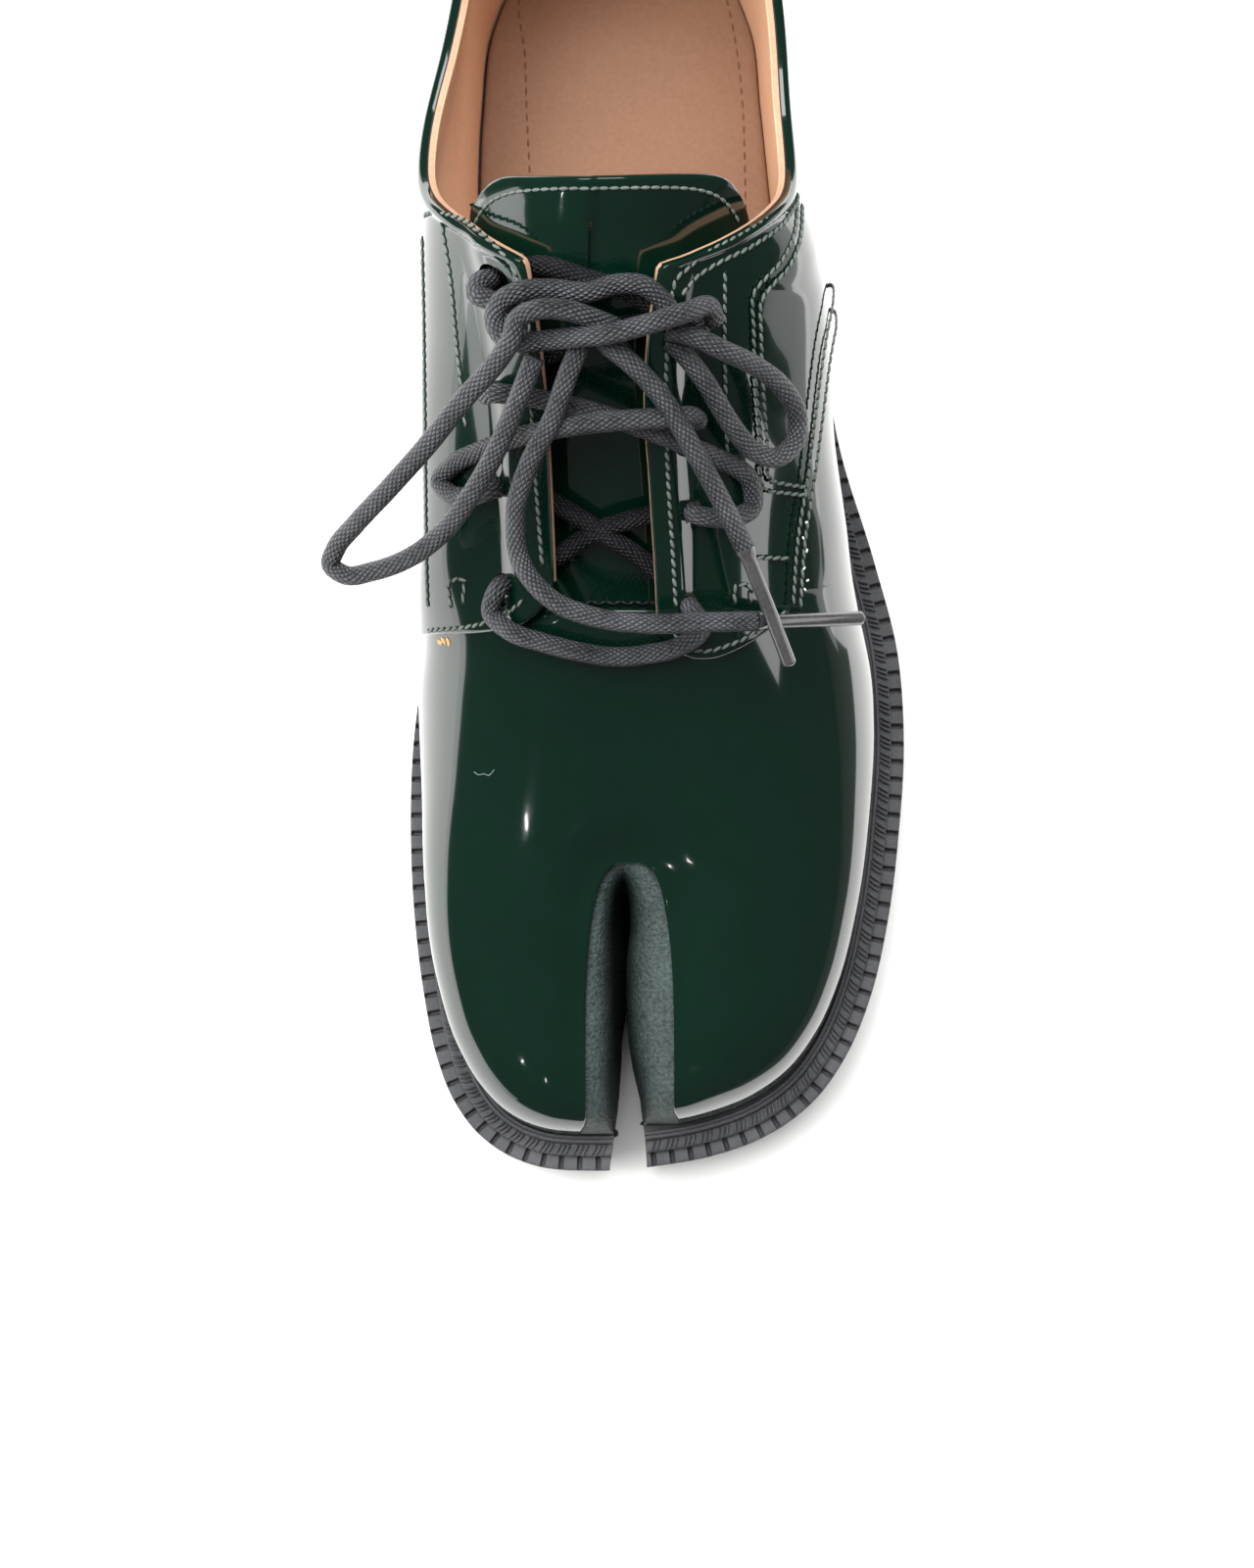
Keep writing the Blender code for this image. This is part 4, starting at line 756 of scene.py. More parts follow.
PATENT = finish("green_patent_leather", (0.0006, 0.0078, 0.0042), (0.0010, 0.0108, 0.0060), 0.10,
                grain=(18.0, 160.0, 0.35), bump=0.0004, strength=0.02, rough_spread=0.03,
                Coat_Weight=1.0, Coat_Roughness=0.02, Coat_IOR=1.5)
LINING = finish("tan_lining_leather", (0.60, 0.34, 0.20), (0.76, 0.47, 0.31), 0.62,
                grain=(30.0, 1100.0, 0.5), bump=0.0001)
VAMP_WALL = 1.5
lobes = np.stack([vamp_surface(side) for side in (MEDIAL, LATERAL)])
vamp_faces = quads(*lobes.shape[1:3])
vamp = add_piece("vamp", lobes, np.vstack((vamp_faces, vamp_faces + lobes.shape[1] * lobes.shape[2])),
                 [PATENT, LINING], "green_patent_leather", sharp=180.0)
face_up(vamp, lambda face: face.calc_center_median().z)
thicken(vamp, VAMP_WALL, inner_skin=1)
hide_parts("upper")

# Quarters: the green patent sides that carry the lace holes and meet at the back of the heel.
# They lie over the vamp, one step thicker, lined in tan; the throat is cut raw, the collar is rolled over.
STEP, QUARTER_INNER, EDGE_ROUND = 1.2, 1.1, 0.7
STEP_FOOT, STEP_RETURNS = (0.07, 0.13), (190.0, 245.0)
FLUSH_ROUND, INNER_ROUND, EDGE_BULGE, DYE_LINE = 0.3, 0.4, 0.08, (0.25, 0.40)
COLLAR_ROUND, COLLAR_ROLL, COLLAR_PAD, COLLAR_BLEND = 1.4, 0.6, 0.8, 4
ROLL_FULL, ROLL_ENDS, PAD_FULL, PAD_ENDS = 2.2, 3.6, 1.0, 14.0
STAY_RISE = 1.9
STAY_FRONT = (100.0, 114.0)
STAY_EDGE = {MEDIAL: (6.8, 11.4), LATERAL: (4.2, 8.6)}
STAY_BACK = {MEDIAL: (174.0, 190.0), LATERAL: (164.0, 180.0)}
LEAD = np.concatenate(((0.0, 0.0015, 0.004, 0.008, 0.014, 0.022), np.linspace(0.04, 1.0, 34)))
GIRTH = np.concatenate((np.linspace(0.0, 0.94, 54), (
    0.95, 0.958, 0.965, 0.971, 0.976, 0.981, 0.985, 0.989, 0.9925, 0.9955, 0.998, 0.9993, 1.0)))
RIB_CHANGE, HEEL_TURN, CORNER_BLEND, NO_EDGE_NEAR = 154.0, 242.0, 0.02, 99.0
THROAT_STATIONS = np.linspace(96.0, 184.0, 177)
QUARTER_CORE = 30.0
RAW_EDGE = finish("raw_tan_edge", (0.34, 0.195, 0.12), (0.48, 0.30, 0.20), 0.8, grain=(120.0, 1500.0, 0.5))
EDGE_DYE = finish("dark_edge_line", (0.021, 0.012, 0.012), (0.035, 0.022, 0.022), 0.6)
QUARTER_SKINS = [PATENT, LINING, RAW_EDGE, EDGE_DYE]
ON_PATENT, ON_LINING, ON_RAW, ON_DYE = range(4)


def quarter_side(side):
    """Columns from the front edge back to the heel, each rib ending at the throat or the collar."""
    edge = quarter_edge(side, GIRTH)
    front_gap = (RIB_CHANGE - edge) * LEAD[:, None]
    station = edge + front_gap
    low = np.interp(station, THROAT_STATIONS, throat_angle(side, foot_at(side, THROAT_STATIONS)))
    front = last_face(side, foot_at(side, station), low * GIRTH)
    line = one_side(FEATHER, side)
    feet = np.vstack((foot_at(side, np.linspace(RIB_CHANGE, HEEL_TURN, 110)[1:]),
                      along_line(line[line[:, 1] > HEEL_TURN], np.linspace(0.0, 1.0, 46)[1:])))
    throat, collar = throat_angle(side, feet), topline_angle(side, feet)
    lower = np.minimum(throat, collar) - soft_ramp(-np.abs(throat - collar), CORNER_BLEND)
    rear = last_face(side, feet[:, None, :], lower[:, None] * GIRTH)
    is_throat = np.concatenate((np.ones(len(LEAD), bool), throat < collar))
    gap = np.vstack((front_gap, np.full(rear.shape[:2], NO_EDGE_NEAR)))
    back = np.concatenate((np.zeros(len(LEAD)), ease(*STEP_RETURNS, feet[:, 1])))[:, None]
    step = np.broadcast_to(ease(*STEP_FOOT, GIRTH), gap.shape)
    if side == LATERAL:
        step = step * (QUARTER_EDGE.read("lateral_step", GIRTH) * (1.0 - back) + back)
    return np.concatenate((front, rear)), gap, step, is_throat


def grid_normals(grid):
    """Unit normals of a grid from its row and column differences, pointing away from the foot."""
    normal = unit(np.cross(np.gradient(grid, axis=0), np.gradient(grid, axis=1)))
    away = grid - core(grid[..., 1], QUARTER_CORE)
    return normal * np.sign(np.sum(np.sum(normal * away, axis=-1)))


def stay(x, from_toe):
    """Rise of the leather over the stay that backs the lace holes: a soft step beside the throat."""
    across = x - last("spine_x", from_toe)
    beside = np.abs(across) - THROAT.read("half", from_toe)
    step, end = [np.where(across < 0.0, ease(*ends[MEDIAL], value), ease(*ends[LATERAL], value))
                 for ends, value in ((STAY_EDGE, beside), (STAY_BACK, from_toe))]
    return STAY_RISE * (1.0 - step) * ease(*STAY_FRONT, from_toe) * (1.0 - end)


def round_off(distance, radius):
    """Drop of a rounded edge at a distance from it."""
    d = np.clip(distance, 0.0, radius)
    return radius - np.sqrt(np.maximum(radius**2 - (radius - d) ** 2, 0.0))


def quarter_sheet():
    """Outer and inner faces of both quarters in one grid from the medial front edge round the heel."""
    both = zip(quarter_side(MEDIAL), quarter_side(LATERAL))
    grid, gap, step, is_throat = [np.concatenate((medial, lateral[-2::-1])) for medial, lateral in both]
    normal = grid_normals(grid)
    length = np.cumsum(np.linalg.norm(np.diff(grid, axis=1, prepend=grid[:, :1]), axis=2), axis=1)
    below = length[:, -1:] - length
    window = 2 * COLLAR_BLEND + 1
    on_collar = np.pad(1.0 - is_throat, COLLAR_BLEND, mode="edge")
    collar = np.convolve(on_collar, np.full(window, 1.0 / window), mode="valid")[:, None]
    drop = (round_off(np.minimum(gap, below), EDGE_ROUND) * (1.0 - collar)
            + round_off(below, COLLAR_ROUND) * collar)
    rise = stay(grid[..., 0], grid[..., 1])
    roll = COLLAR_ROLL * collar * (1.0 - ease(ROLL_FULL, ROLL_ENDS, below))
    drop = drop * np.minimum(step + FLUSH_ROUND, 1.0)
    outer = grid + normal * (STEP * step + rise + roll - drop)[..., None]
    pad = COLLAR_PAD * collar * (1.0 - ease(PAD_FULL, PAD_ENDS, below))
    rounding = INNER_ROUND * round_off(below, EDGE_ROUND)
    inner = grid + normal * (rise - QUARTER_INNER - pad + rounding)[..., None]
    return outer, inner, is_throat


def band(one, other):
    """Quads between two like rows of point numbers."""
    return np.stack((one[:-1], one[1:], other[1:], other[:-1]), axis=-1)


def quarter_mesh():
    """Joins the two faces along every border; the throat is raw, the collar has a dark line and raw edge."""
    outer, inner, is_throat = quarter_sheet()
    columns, rows = outer.shape[:2]
    count = columns * rows
    rim = unit(outer[:, -1] - outer[:, -4])
    across = inner[:, -1] - outer[:, -1]
    strips = [outer[:, -1] + across * share + rim * EDGE_BULGE for share in DYE_LINE]
    points = np.vstack((outer.reshape(-1, 3), inner.reshape(-1, 3), *strips))
    face = quads(columns, rows)
    foot = np.arange(columns) * rows
    front = np.arange(rows)
    strip = 2 * count + np.arange(columns)
    lines = (foot + rows - 1, strip, strip + columns, count + foot + rows - 1)
    raw = is_throat[:-1] & is_throat[1:]
    groups = [(face, ON_PATENT), (face[:, ::-1] + count, ON_LINING)]
    for upper, lower, skin in zip(lines[:-1], lines[1:], (ON_PATENT, ON_DYE, ON_RAW)):
        groups.append((band(upper, lower), np.where(raw, ON_RAW, skin)))
    for start in (0, count - rows):
        groups.append((band(start + front, count + start + front), ON_PATENT))
    groups.append((np.stack([line[[0, -1]] for line in lines], axis=-1), ON_RAW))
    groups.append((band(foot, count + foot), ON_LINING))
    skins = np.concatenate([np.broadcast_to(skin, len(faces)) for faces, skin in groups])
    return points, np.vstack([faces for faces, skin in groups]), skins


quarter_points, quarter_faces, quarter_skins = quarter_mesh()
quarters = add_piece("quarters", quarter_points, quarter_faces, QUARTER_SKINS, "green_patent_leather",
                     face_skin=quarter_skins, sharp=50.0)
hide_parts("upper")
EYELETS = Table("medial_from_toe medial_across lateral_from_toe lateral_across", (
    (118.4, 20.0, 113.4, 16.2), (136.0, 20.2, 130.5, 17.6), (152.6, 19.8, 146.8, 18.7),
    (171.0, 18.8, 163.0, 20.0)))
EYELET_RADIUS = (2.3, 2.3, 2.3, 3.1, 2.3, 2.3, 2.3, 2.3)
TOP_MEDIAL = 3
PULLED_ACROSS, PULLED_BACK, PULLED_RADIUS = 3.0, -0.3, 2.7
PUNCH_SIDES, PUNCH_REACH = 20, 6.0
STEP_ALONG, STEP_ROUND, NEAR_SPINE = 1.0, 0.03, 1.57


def last_normal(side, from_toe, angle):
    """Directions square to the last's face, from small steps along and round it, pointing out of the foot."""
    feet = foot_at(side, from_toe)
    ahead = (last_face(side, foot_at(side, from_toe + STEP_ALONG), angle)
             - last_face(side, foot_at(side, from_toe - STEP_ALONG), angle))
    round_rib = (last_face(side, feet, np.minimum(angle + STEP_ROUND, NEAR_SPINE))
                 - last_face(side, feet, np.maximum(angle - STEP_ROUND, 0.0)))
    facing = unit(np.cross(ahead, round_rib))
    away = last_face(side, feet, angle) - core(from_toe, QUARTER_CORE)
    return facing * np.sign(np.sum(facing * away, axis=1))[:, None]


def on_quarter(x, from_toe, lift=0.0):
    """Points of the last's face at plan places (x, from_toe), with their normals, moved out by a lift."""
    x, t = np.atleast_1d(np.asarray(x, float)), np.atleast_1d(np.asarray(from_toe, float))
    place, normal = np.zeros((len(x), 3)), np.zeros((len(x), 3))
    across = x - last("spine_x", t)
    for side, mine in ((MEDIAL, across < 0.0), (LATERAL, across >= 0.0)):
        if not mine.any():
            continue
        feet = foot_at(side, t[mine])
        sweep = last_face(side, feet[:, None, :], SWEEP)
        offset = np.abs(sweep[..., 0] - last("spine_x", t[mine])[:, None]) - np.abs(across[mine])[:, None]
        past = np.arange(len(SWEEP)) >= np.argmax(offset, axis=1)[:, None]
        met = past & (offset <= 1e-4)
        k = np.where(met.any(axis=1), np.argmax(met, axis=1), len(SWEEP) - 1)
        k = np.clip(k, 1, len(SWEEP) - 1)
        row = np.arange(len(k))
        angle = sweep_angle(np.maximum(offset[row, k - 1], 0.0), offset[row, k], k)
        normal[mine] = last_normal(side, t[mine], angle)
        place[mine] = last_face(side, feet, angle)
    return place + normal * (np.broadcast_to(lift, (len(x),)) + stay(x, t))[:, None], normal


def eyelet_places():
    """Middles and normals of the eight holes, the medial four first, each four from the toe."""
    t = np.concatenate((EYELETS.column("medial_from_toe"), EYELETS.column("lateral_from_toe")))
    across = np.concatenate((-EYELETS.column("medial_across"), EYELETS.column("lateral_across")))
    return on_quarter(last("spine_x", t) + across, t)


def punch(centre, axis, radius):
    """Round punch along an axis."""
    side = unit(np.cross(axis, (0.0, 1.0, 0.0)))
    up = np.cross(side, axis)
    spin = np.linspace(0.0, FULL_TURN, PUNCH_SIDES, endpoint=False)
    ring = centre + (np.cos(spin)[:, None] * side + np.sin(spin)[:, None] * up) * radius
    return closed_prism("punch", ring - axis * PUNCH_REACH, ring + axis * PUNCH_REACH)


EYELET_PLACE, EYELET_NORMAL = eyelet_places()
top_x, top_from_toe = EYELET_PLACE[TOP_MEDIAL, :2]
pulled_place, pulled_normal = on_quarter(top_x + PULLED_ACROSS, top_from_toe + PULLED_BACK)
punches = [punch(*hole) for hole in zip(EYELET_PLACE, EYELET_NORMAL, EYELET_RADIUS)]
cut_away(quarters, punches + [punch(pulled_place[0], pulled_normal[0], PULLED_RADIUS)])

# Seams: rows of light grey-green lockstitch thread on the quarters.
# Each row follows a few plan points (x, from_toe); stitches are round-ended beads half sunk in the leather.
THREAD = finish("grey_green_thread", (0.060, 0.078, 0.066), (0.15, 0.175, 0.155), 0.55,
                grain=(300.0, 3000.0, 0.5))
# Flat dark matte patches at the stitch ends: painted shade for the needle holes.
NEEDLE_HOLE_SHADE = finish("needle_hole_painted_shade", (0.0025, 0.005, 0.004), (0.005, 0.009, 0.007), 0.7)
STITCH_PITCH, STITCH_SLANT, STITCH_LIFT = 2.0, 0.3, 0.18
STITCH_SIZE = (2.0, 0.78, 0.6)
PIT_LIFT, PIT_SIZE = 0.04, (0.9, 1.15, 0.3)
SEAMS = {
    "medial_collar": ((-46.0, 187.5), (-43.4, 186.0), (-38.8, 183.0), (-33.0, 178.6), (-28.5, 174.0),
                      (-26.2, 170.0), (-25.3, 165.0), (-24.4, 153.3), (-23.7, 136.9), (-22.8, 121.0)),
    "medial_eyestay": ((-42.2, 183.5), (-40.7, 173.7), (-39.9, 163.8), (-39.0, 153.9), (-38.4, 147.0)),
    "medial_side": ((-46.6, 184.0), (-46.7, 169.3), (-47.0, 153.7), (-47.4, 135.9), (-47.6, 117.0)),
    "medial_front": ((-47.6, 112.6), (-41.2, 111.6), (-34.9, 111.8), (-30.8, 112.8), (-25.9, 115.6)),
    "lateral_collar": ((0.6, 165.6), (1.6, 169.0), (4.4, 171.4), (8.1, 174.3), (15.7, 179.7), (23.2, 187.8),
                       (26.4, 197.0)),
    "lateral_collar_low": ((2.4, 166.6), (5.6, 169.6), (9.4, 172.4), (16.8, 177.4), (22.4, 183.0),
                           (26.0, 190.0)),
    "lateral_eyestay": ((11.4, 171.6), (11.6, 159.8), (12.0, 151.0), (12.6, 141.0)),
    "lateral_panel": ((26.3, 193.0), (24.8, 181.2), (22.6, 176.4), (19.8, 172.9), (17.2, 169.4),
                      (17.3, 163.2), (17.6, 158.4), (19.3, 143.8), (20.3, 136.1), (24.8, 136.1),
                      (28.4, 136.5)),
    "lateral_panel_low": ((27.3, 191.0), (26.2, 181.0), (24.0, 175.6), (21.0, 171.8), (18.8, 168.6),
                          (18.8, 163.0), (19.1, 158.2), (20.6, 144.2), (21.6, 137.9), (24.8, 137.7),
                          (28.6, 138.0)),
    "side_seam": ((33.4, 172.0), (32.6, 167.9), (30.5, 151.9), (29.4, 141.9), (27.3, 127.6), (26.6, 115.0)),
    "side_seam_low": ((34.6, 170.0), (34.0, 167.0), (32.0, 151.5), (30.8, 141.6), (28.8, 127.3),
                      (28.2, 116.0)),
    "lateral_short": ((18.7, 123.3), (25.6, 124.1)),
    "lateral_front": ((2.6, 112.0), (2.9, 107.6), (4.6, 105.8), (7.5, 105.0), (14.1, 106.6), (20.8, 110.4),
                      (25.6, 114.2)),
    "lateral_throat": ((0.7, 164.0), (0.0, 156.2), (0.1, 146.6), (0.9, 133.4), (1.8, 123.0), (2.5, 113.4)),
    "medial_tack": ((-42.6, 116.0), (-42.6, 120.4), (-40.0, 120.4), (-40.0, 116.0)),
    "lateral_tack": ((14.6, 114.4), (14.9, 117.6), (17.6, 117.8), (17.8, 114.8)),
}
WALL_SEAMS = (
    ((172.0, 0.606), (176.5, 0.545), (180.0, 0.46), (183.0, 0.34), (185.6, 0.20), (188.2, 0.012)),
    ((170.0, 0.5535), (173.8, 0.492), (177.0, 0.40), (179.8, 0.29), (182.2, 0.17), (184.6, 0.012)))
WALL_PER_ANGLE = 80.0


def lay_stitches(place, normal, start, slant):
    """Stitch centres every pitch along a line on the leather, with their slanted directions and normals."""
    length = run_length(place)
    want = np.arange(start * STITCH_PITCH, length[-1], STITCH_PITCH)
    up = unit(at_distance(want, length, normal))
    ahead = unit(at_distance(want, length, np.gradient(place, axis=0)))
    ahead = unit(ahead - up * np.sum(ahead * up, axis=1)[:, None])
    return at_distance(want, length, place), unit(ahead + slant * np.cross(up, ahead)), up


def seam_stitches(route, lift, start, slant):
    """Stitches along a route of plan points laid on the quarter."""
    knots = np.array(route)
    chord = run_length(knots)
    plan = curve_through(np.linspace(0.0, chord[-1], max(int(chord[-1] / 0.5), 8)), chord, knots)
    return lay_stitches(*on_quarter(*plan.T, lift), start, slant)


def wall_stitches(stops, lift, start, slant):
    """Stitches down the lateral wall to the welt, from stops (from_toe, angle round the last)."""
    knots = np.array(stops)
    chord = run_length(knots * (1.0, WALL_PER_ANGLE))
    t, angle = curve_through(np.linspace(0.0, chord[-1], 80), chord, knots).T
    normal = last_normal(LATERAL, t, angle)
    return lay_stitches(last_face(LATERAL, foot_at(LATERAL, t), angle) + normal * lift, normal, start, slant)


def join(parts):
    """Like arrays of several rows of stitches, joined end to end."""
    return [np.concatenate(part) for part in zip(*parts)]


def all_seams(lift, start, slant):
    """Centres, directions and normals of the stitches of every seam."""
    return join([seam_stitches(route, lift, start, slant) for route in SEAMS.values()]
                + [wall_stitches(stops, lift, start, slant) for stops in WALL_SEAMS])


add_beads("seam_stitches", beads(*all_seams(STEP + STITCH_LIFT, 0.5, STITCH_SLANT), *STITCH_SIZE), THREAD,
          "green_patent_leather")
# Dark patches at the ends of the stitches: painted shade of the needle holes.
add_beads("needle_hole_shade_patches", beads(*all_seams(STEP + PIT_LIFT, 0.0, 0.0), *PIT_SIZE), NEEDLE_HOLE_SHADE,
          "green_patent_leather")

# Toe gusset: padded matte grey-green leather that lines the split, rolled from the vamp's edge to the slit.
# It dips in the middle of its back end; below it is cemented between insole and outsole.
GUSSET = finish("grey_green_soft_leather", (0.010, 0.0165, 0.0155), (0.052, 0.070, 0.066), 0.5,
                grain=(120.0, 1300.0, 0.65), bump=0.0006, strength=0.9)
GUSSET_FRONT, GUSSET_DEPTH, GUSSET_LIP, GUSSET_SINK = 8.0, 12.0, 1.3, 0.9
DEPTH_SHARE = 0.6
GUSSET_WALL = Table("from_toe medial_x lateral_x", (
    (0.0, -9.6, -2.6), (8.0, -9.6, -3.0), (14.0, -9.5, -3.9), (23.0, -9.3, -5.9), (43.0, -9.5, -7.0),
    (56.0, -9.4, -6.3), (59.0, -8.7, -6.9), (60.5, -7.8, -7.6)))
SLIT_CLOSES, SLIT_CLOSED = 26.0, 42.0
UNDER_VAMP, UNDER_CORNER, CORNER_BACK, CORNER_LENGTH = 0.8, 0.5, 26.0, 14.0
DIP_DEPTH, DIP_HALF, DIP_STARTS, DIP_FULL = 2.2, 1.6, 57.0, 63.0
ROLL_STEPS, WALL_STEPS = 26, 8
GUSSET_THICKNESS = 0.9


def gusset_edge():
    """Edge of the split from the front of the medial lobe round its back end to the lateral lobe."""
    sides = []
    for side in (MEDIAL, LATERAL):
        feet = np.vstack((toe_feet(side, 70), lobe_feet(side, 60)))
        corner = last_face(side, feet[:1], np.linspace(0.08, 0.98, 26) * slot_angle(side, feet[:1]))
        sides.append(np.vstack((corner, last_face(side, feet, slot_angle(side, feet)))))
    return np.vstack((sides[0], sides[1][-2::-1]))


def gusset_surface():
    """Roll from the edge: a quarter turn down to the slit with a raised lip, then straight to the sole."""
    edge = gusset_edge()
    share = (edge[:, 1] - GUSSET_FRONT) / (SLOT_END - GUSSET_FRONT)
    at = GUSSET_FRONT + share * (SLIT_END - GUSSET_FRONT)
    open_half = slit_half(at) * (1.0 - ease(SLIT_CLOSES, SLIT_CLOSED, at))
    bottom = np.column_stack((SLIT_CENTRE + np.sign(edge[:, 0] - SLIT_CENTRE) * open_half, at))
    near = GUSSET_FRONT + share * (GUSSET_WALL.rows[-1, 0] - GUSSET_FRONT)
    medial_x, lateral_x = GUSSET_WALL.read("medial_x", near), GUSSET_WALL.read("lateral_x", near)
    low = np.column_stack((np.where(edge[:, 0] < SLIT_CENTRE, medial_x, lateral_x), near))
    corner = np.clip((CORNER_BACK - edge[:, 1]) / CORNER_LENGTH, 0.0, 1.0)
    start = edge[:, :2] - unit(low - edge[:, :2]) * (UNDER_VAMP - UNDER_CORNER * corner)[:, None]
    foot = seat_z(at) + LAST_BASE
    depth = np.minimum(GUSSET_DEPTH, DEPTH_SHARE * (edge[:, 2] - foot))
    turn = np.concatenate((np.linspace(0.0, RIGHT_ANGLE, ROLL_STEPS), np.full(WALL_STEPS, RIGHT_ANGLE)))
    down = np.concatenate((np.zeros(ROLL_STEPS), np.linspace(0.1, 1.0, WALL_STEPS)))
    plan = low[:, None] + (start - low)[:, None] * (1.0 - np.sin(turn))[None, :, None]
    plan = plan + (bottom - low)[:, None] * down[None, :, None]
    lip = GUSSET_LIP * np.sin(np.minimum(2.0 * turn, math.pi)) * np.sin(turn)
    rise = np.clip((edge[:, 2] - foot) / GUSSET_DEPTH, 0.0, 1.0)
    z = (edge[:, 2] - GUSSET_SINK)[:, None] - depth[:, None] * (1.0 - np.cos(turn)) + rise[:, None] * lip
    level = (edge[:, 2] - GUSSET_SINK - depth)[:, None]
    z = np.where(down > 0.0, level + (foot[:, None] - level) * down, z)
    dip = np.exp(-((edge[:, 0] - SLIT_CENTRE) / DIP_HALF) ** 2) * ease(DIP_STARTS, DIP_FULL, edge[:, 1])
    z = z - DIP_DEPTH * dip[:, None] * np.sin(turn) * (down == 0.0)
    return np.concatenate((plan, z[..., None]), axis=-1)


def corner_map(along, across):
    """Map of a grid's quads, corner by corner, from a value for each row and one for each column."""
    r, c = np.meshgrid(np.arange(len(along) - 1), np.arange(len(across) - 1), indexing="ij")
    corners = [np.stack((along[r + a], across[c + b]), axis=-1) for a, b in ((0, 0), (0, 1), (1, 1), (1, 0))]
    return np.stack(corners, axis=2).reshape(-1, 2)


def scale_colour(skin, factor):
    """Multiplies a skin's colour by the value at a node's output."""
    n = Nodes(skin.node_tree)
    base = skin.node_tree.nodes["Principled BSDF"].inputs["Base Color"]
    shade = n.add("ShaderNodeVectorMath", operation="SCALE")
    n.link(base.links[0].from_socket, shade.inputs[0])
    n.link(factor, shade.inputs["Scale"])
    n.link(shade.outputs["Vector"], base)


def paint_slit_shade(skin):
    """Painted light and shade by the map: a little lighter at the roll's outer edge, darker into the slit."""
    n = Nodes(skin.node_tree)
    across = n.add("ShaderNodeSeparateXYZ")
    n.link(n.add("ShaderNodeUVMap", uv_map="run").outputs["UV"], across.inputs["Vector"])
    slit_shade = n.add("ShaderNodeMapRange", interpolation_type="SMOOTHSTEP")
    for socket, value in zip(("From Min", "From Max", "To Min", "To Max"), (0.15, 0.62, 1.1, 0.28)):
        slit_shade.inputs[socket].default_value = value
    n.link(across.outputs["Y"], slit_shade.inputs["Value"])
    scale_colour(skin, slit_shade.outputs["Result"])


# Painted shade: the gusset's colour darkens towards the slit.
paint_slit_shade(GUSSET)
roll_grid = gusset_surface()
runs, turns = roll_grid.shape[:2]
roll_map = corner_map(np.arange(runs) / runs, np.arange(turns) / turns)
gusset = add_piece("toe_gusset_roll", roll_grid, quads(runs, turns), [GUSSET], "grey_green_leather",
                   nodes=("toe_gusset",), corner_uv=roll_map, sharp=180.0)
face_up(gusset, lambda face: abs(face.normal.z))
thicken(gusset, GUSSET_THICKNESS)

# Insole: a tan leather footbed that lies in the upper, cut out for the split.
# Its edge is softened and two faint rows of stitching run along its heel end.
INSOLE_COVER = finish("tan_insole_leather", (0.175, 0.087, 0.049), (0.225, 0.121, 0.072), 0.55,
                      grain=(25.0, 1000.0, 0.5), bump=0.0001)
INSOLE_THREAD = finish("tan_insole_thread", (0.105, 0.050, 0.028), (0.16, 0.080, 0.046), 0.7)
MEDIAL_CLEAR, LATERAL_CLEAR, CLEAR_MIDDLE = 1.75, 1.25, -8.0
TOE_CLEAR, TOE_CLEAR_LENGTH, SPLIT_CLEAR = 3.0, 40.0, 2.4
INSOLE_ROWS = Table("share height", (
    (0.0, 0.0), (0.5, 0.0), (0.985, 0.0), (1.0, 0.4), (1.0, 2.2), (0.992, 2.7), (0.975, 2.95), (0.94, 3.0),
    (0.7, 3.0), (0.4, 3.0), (0.0, 3.0)))
INSOLE_SEAMS = (
    ((-28.0, 270.0), (-31.0, 261.7), (-29.8, 247.8), (-29.3, 234.0), (-28.6, 220.5), (-27.9, 206.0)),
    ((12.7, 270.0), (15.3, 261.7), (17.9, 247.8), (19.0, 236.3), (19.5, 220.5), (19.6, 206.0)))
INSOLE_PITCH, INSOLE_THREAD_HEIGHT = 3.0, 3.32
INSOLE_STITCH_SIZE = (2.0, 0.5, 0.35)


def insole_surface():
    """Top and bottom faces as rows across the foot; the rim drops over a small rounding."""
    clear = np.where(OUTLINE[:, 0] < CLEAR_MIDDLE, MEDIAL_CLEAR, LATERAL_CLEAR)
    clear = clear + TOE_CLEAR * np.clip(1.0 - OUTLINE[:, 1] / TOE_CLEAR_LENGTH, 0.0, 1.0)
    loop = FEATHER - OUTWARD * clear[:, None]
    spine = last("spine_x", loop[:, 1])
    meet = np.round(loop[:, 1])
    rows = []
    for share, height in INSOLE_ROWS.rows:
        t = meet if share == 0.0 else loop[:, 1]
        x = last("spine_x", meet) if share == 0.0 else spine + (loop[:, 0] - spine) * share
        rows.append(np.column_stack((x, t, seat_z(t) + LAST_BASE + height)))
    return np.stack(rows)


def insole_stitches():
    """Small stitches at an even pitch on both rows, laid on the footbed's top face."""
    parts = []
    for seam in INSOLE_SEAMS:
        x, from_toe = np.array(seam)[::-1].T
        t = np.arange(from_toe[0], from_toe[-1], INSOLE_PITCH)
        centre = np.column_stack((through(t, from_toe, x), t, seat_z(t) + INSOLE_THREAD_HEIGHT))
        parts.append((centre, unit(np.gradient(centre, axis=0)), np.broadcast_to(UPWARD, centre.shape)))
    return beads(*join(parts), *INSOLE_STITCH_SIZE)


bed = insole_surface()
insole = add_piece("insole_footbed", bed, quads(*bed.shape[:2], loop_columns=True), [INSOLE_COVER],
                   "tan_leather", nodes=("insole",), sharp=60.0)
cut_away(insole, [slit_shape(SPLIT_CLEAR)])
add_beads("insole_stitches", insole_stitches(), INSOLE_THREAD, "tan_leather")

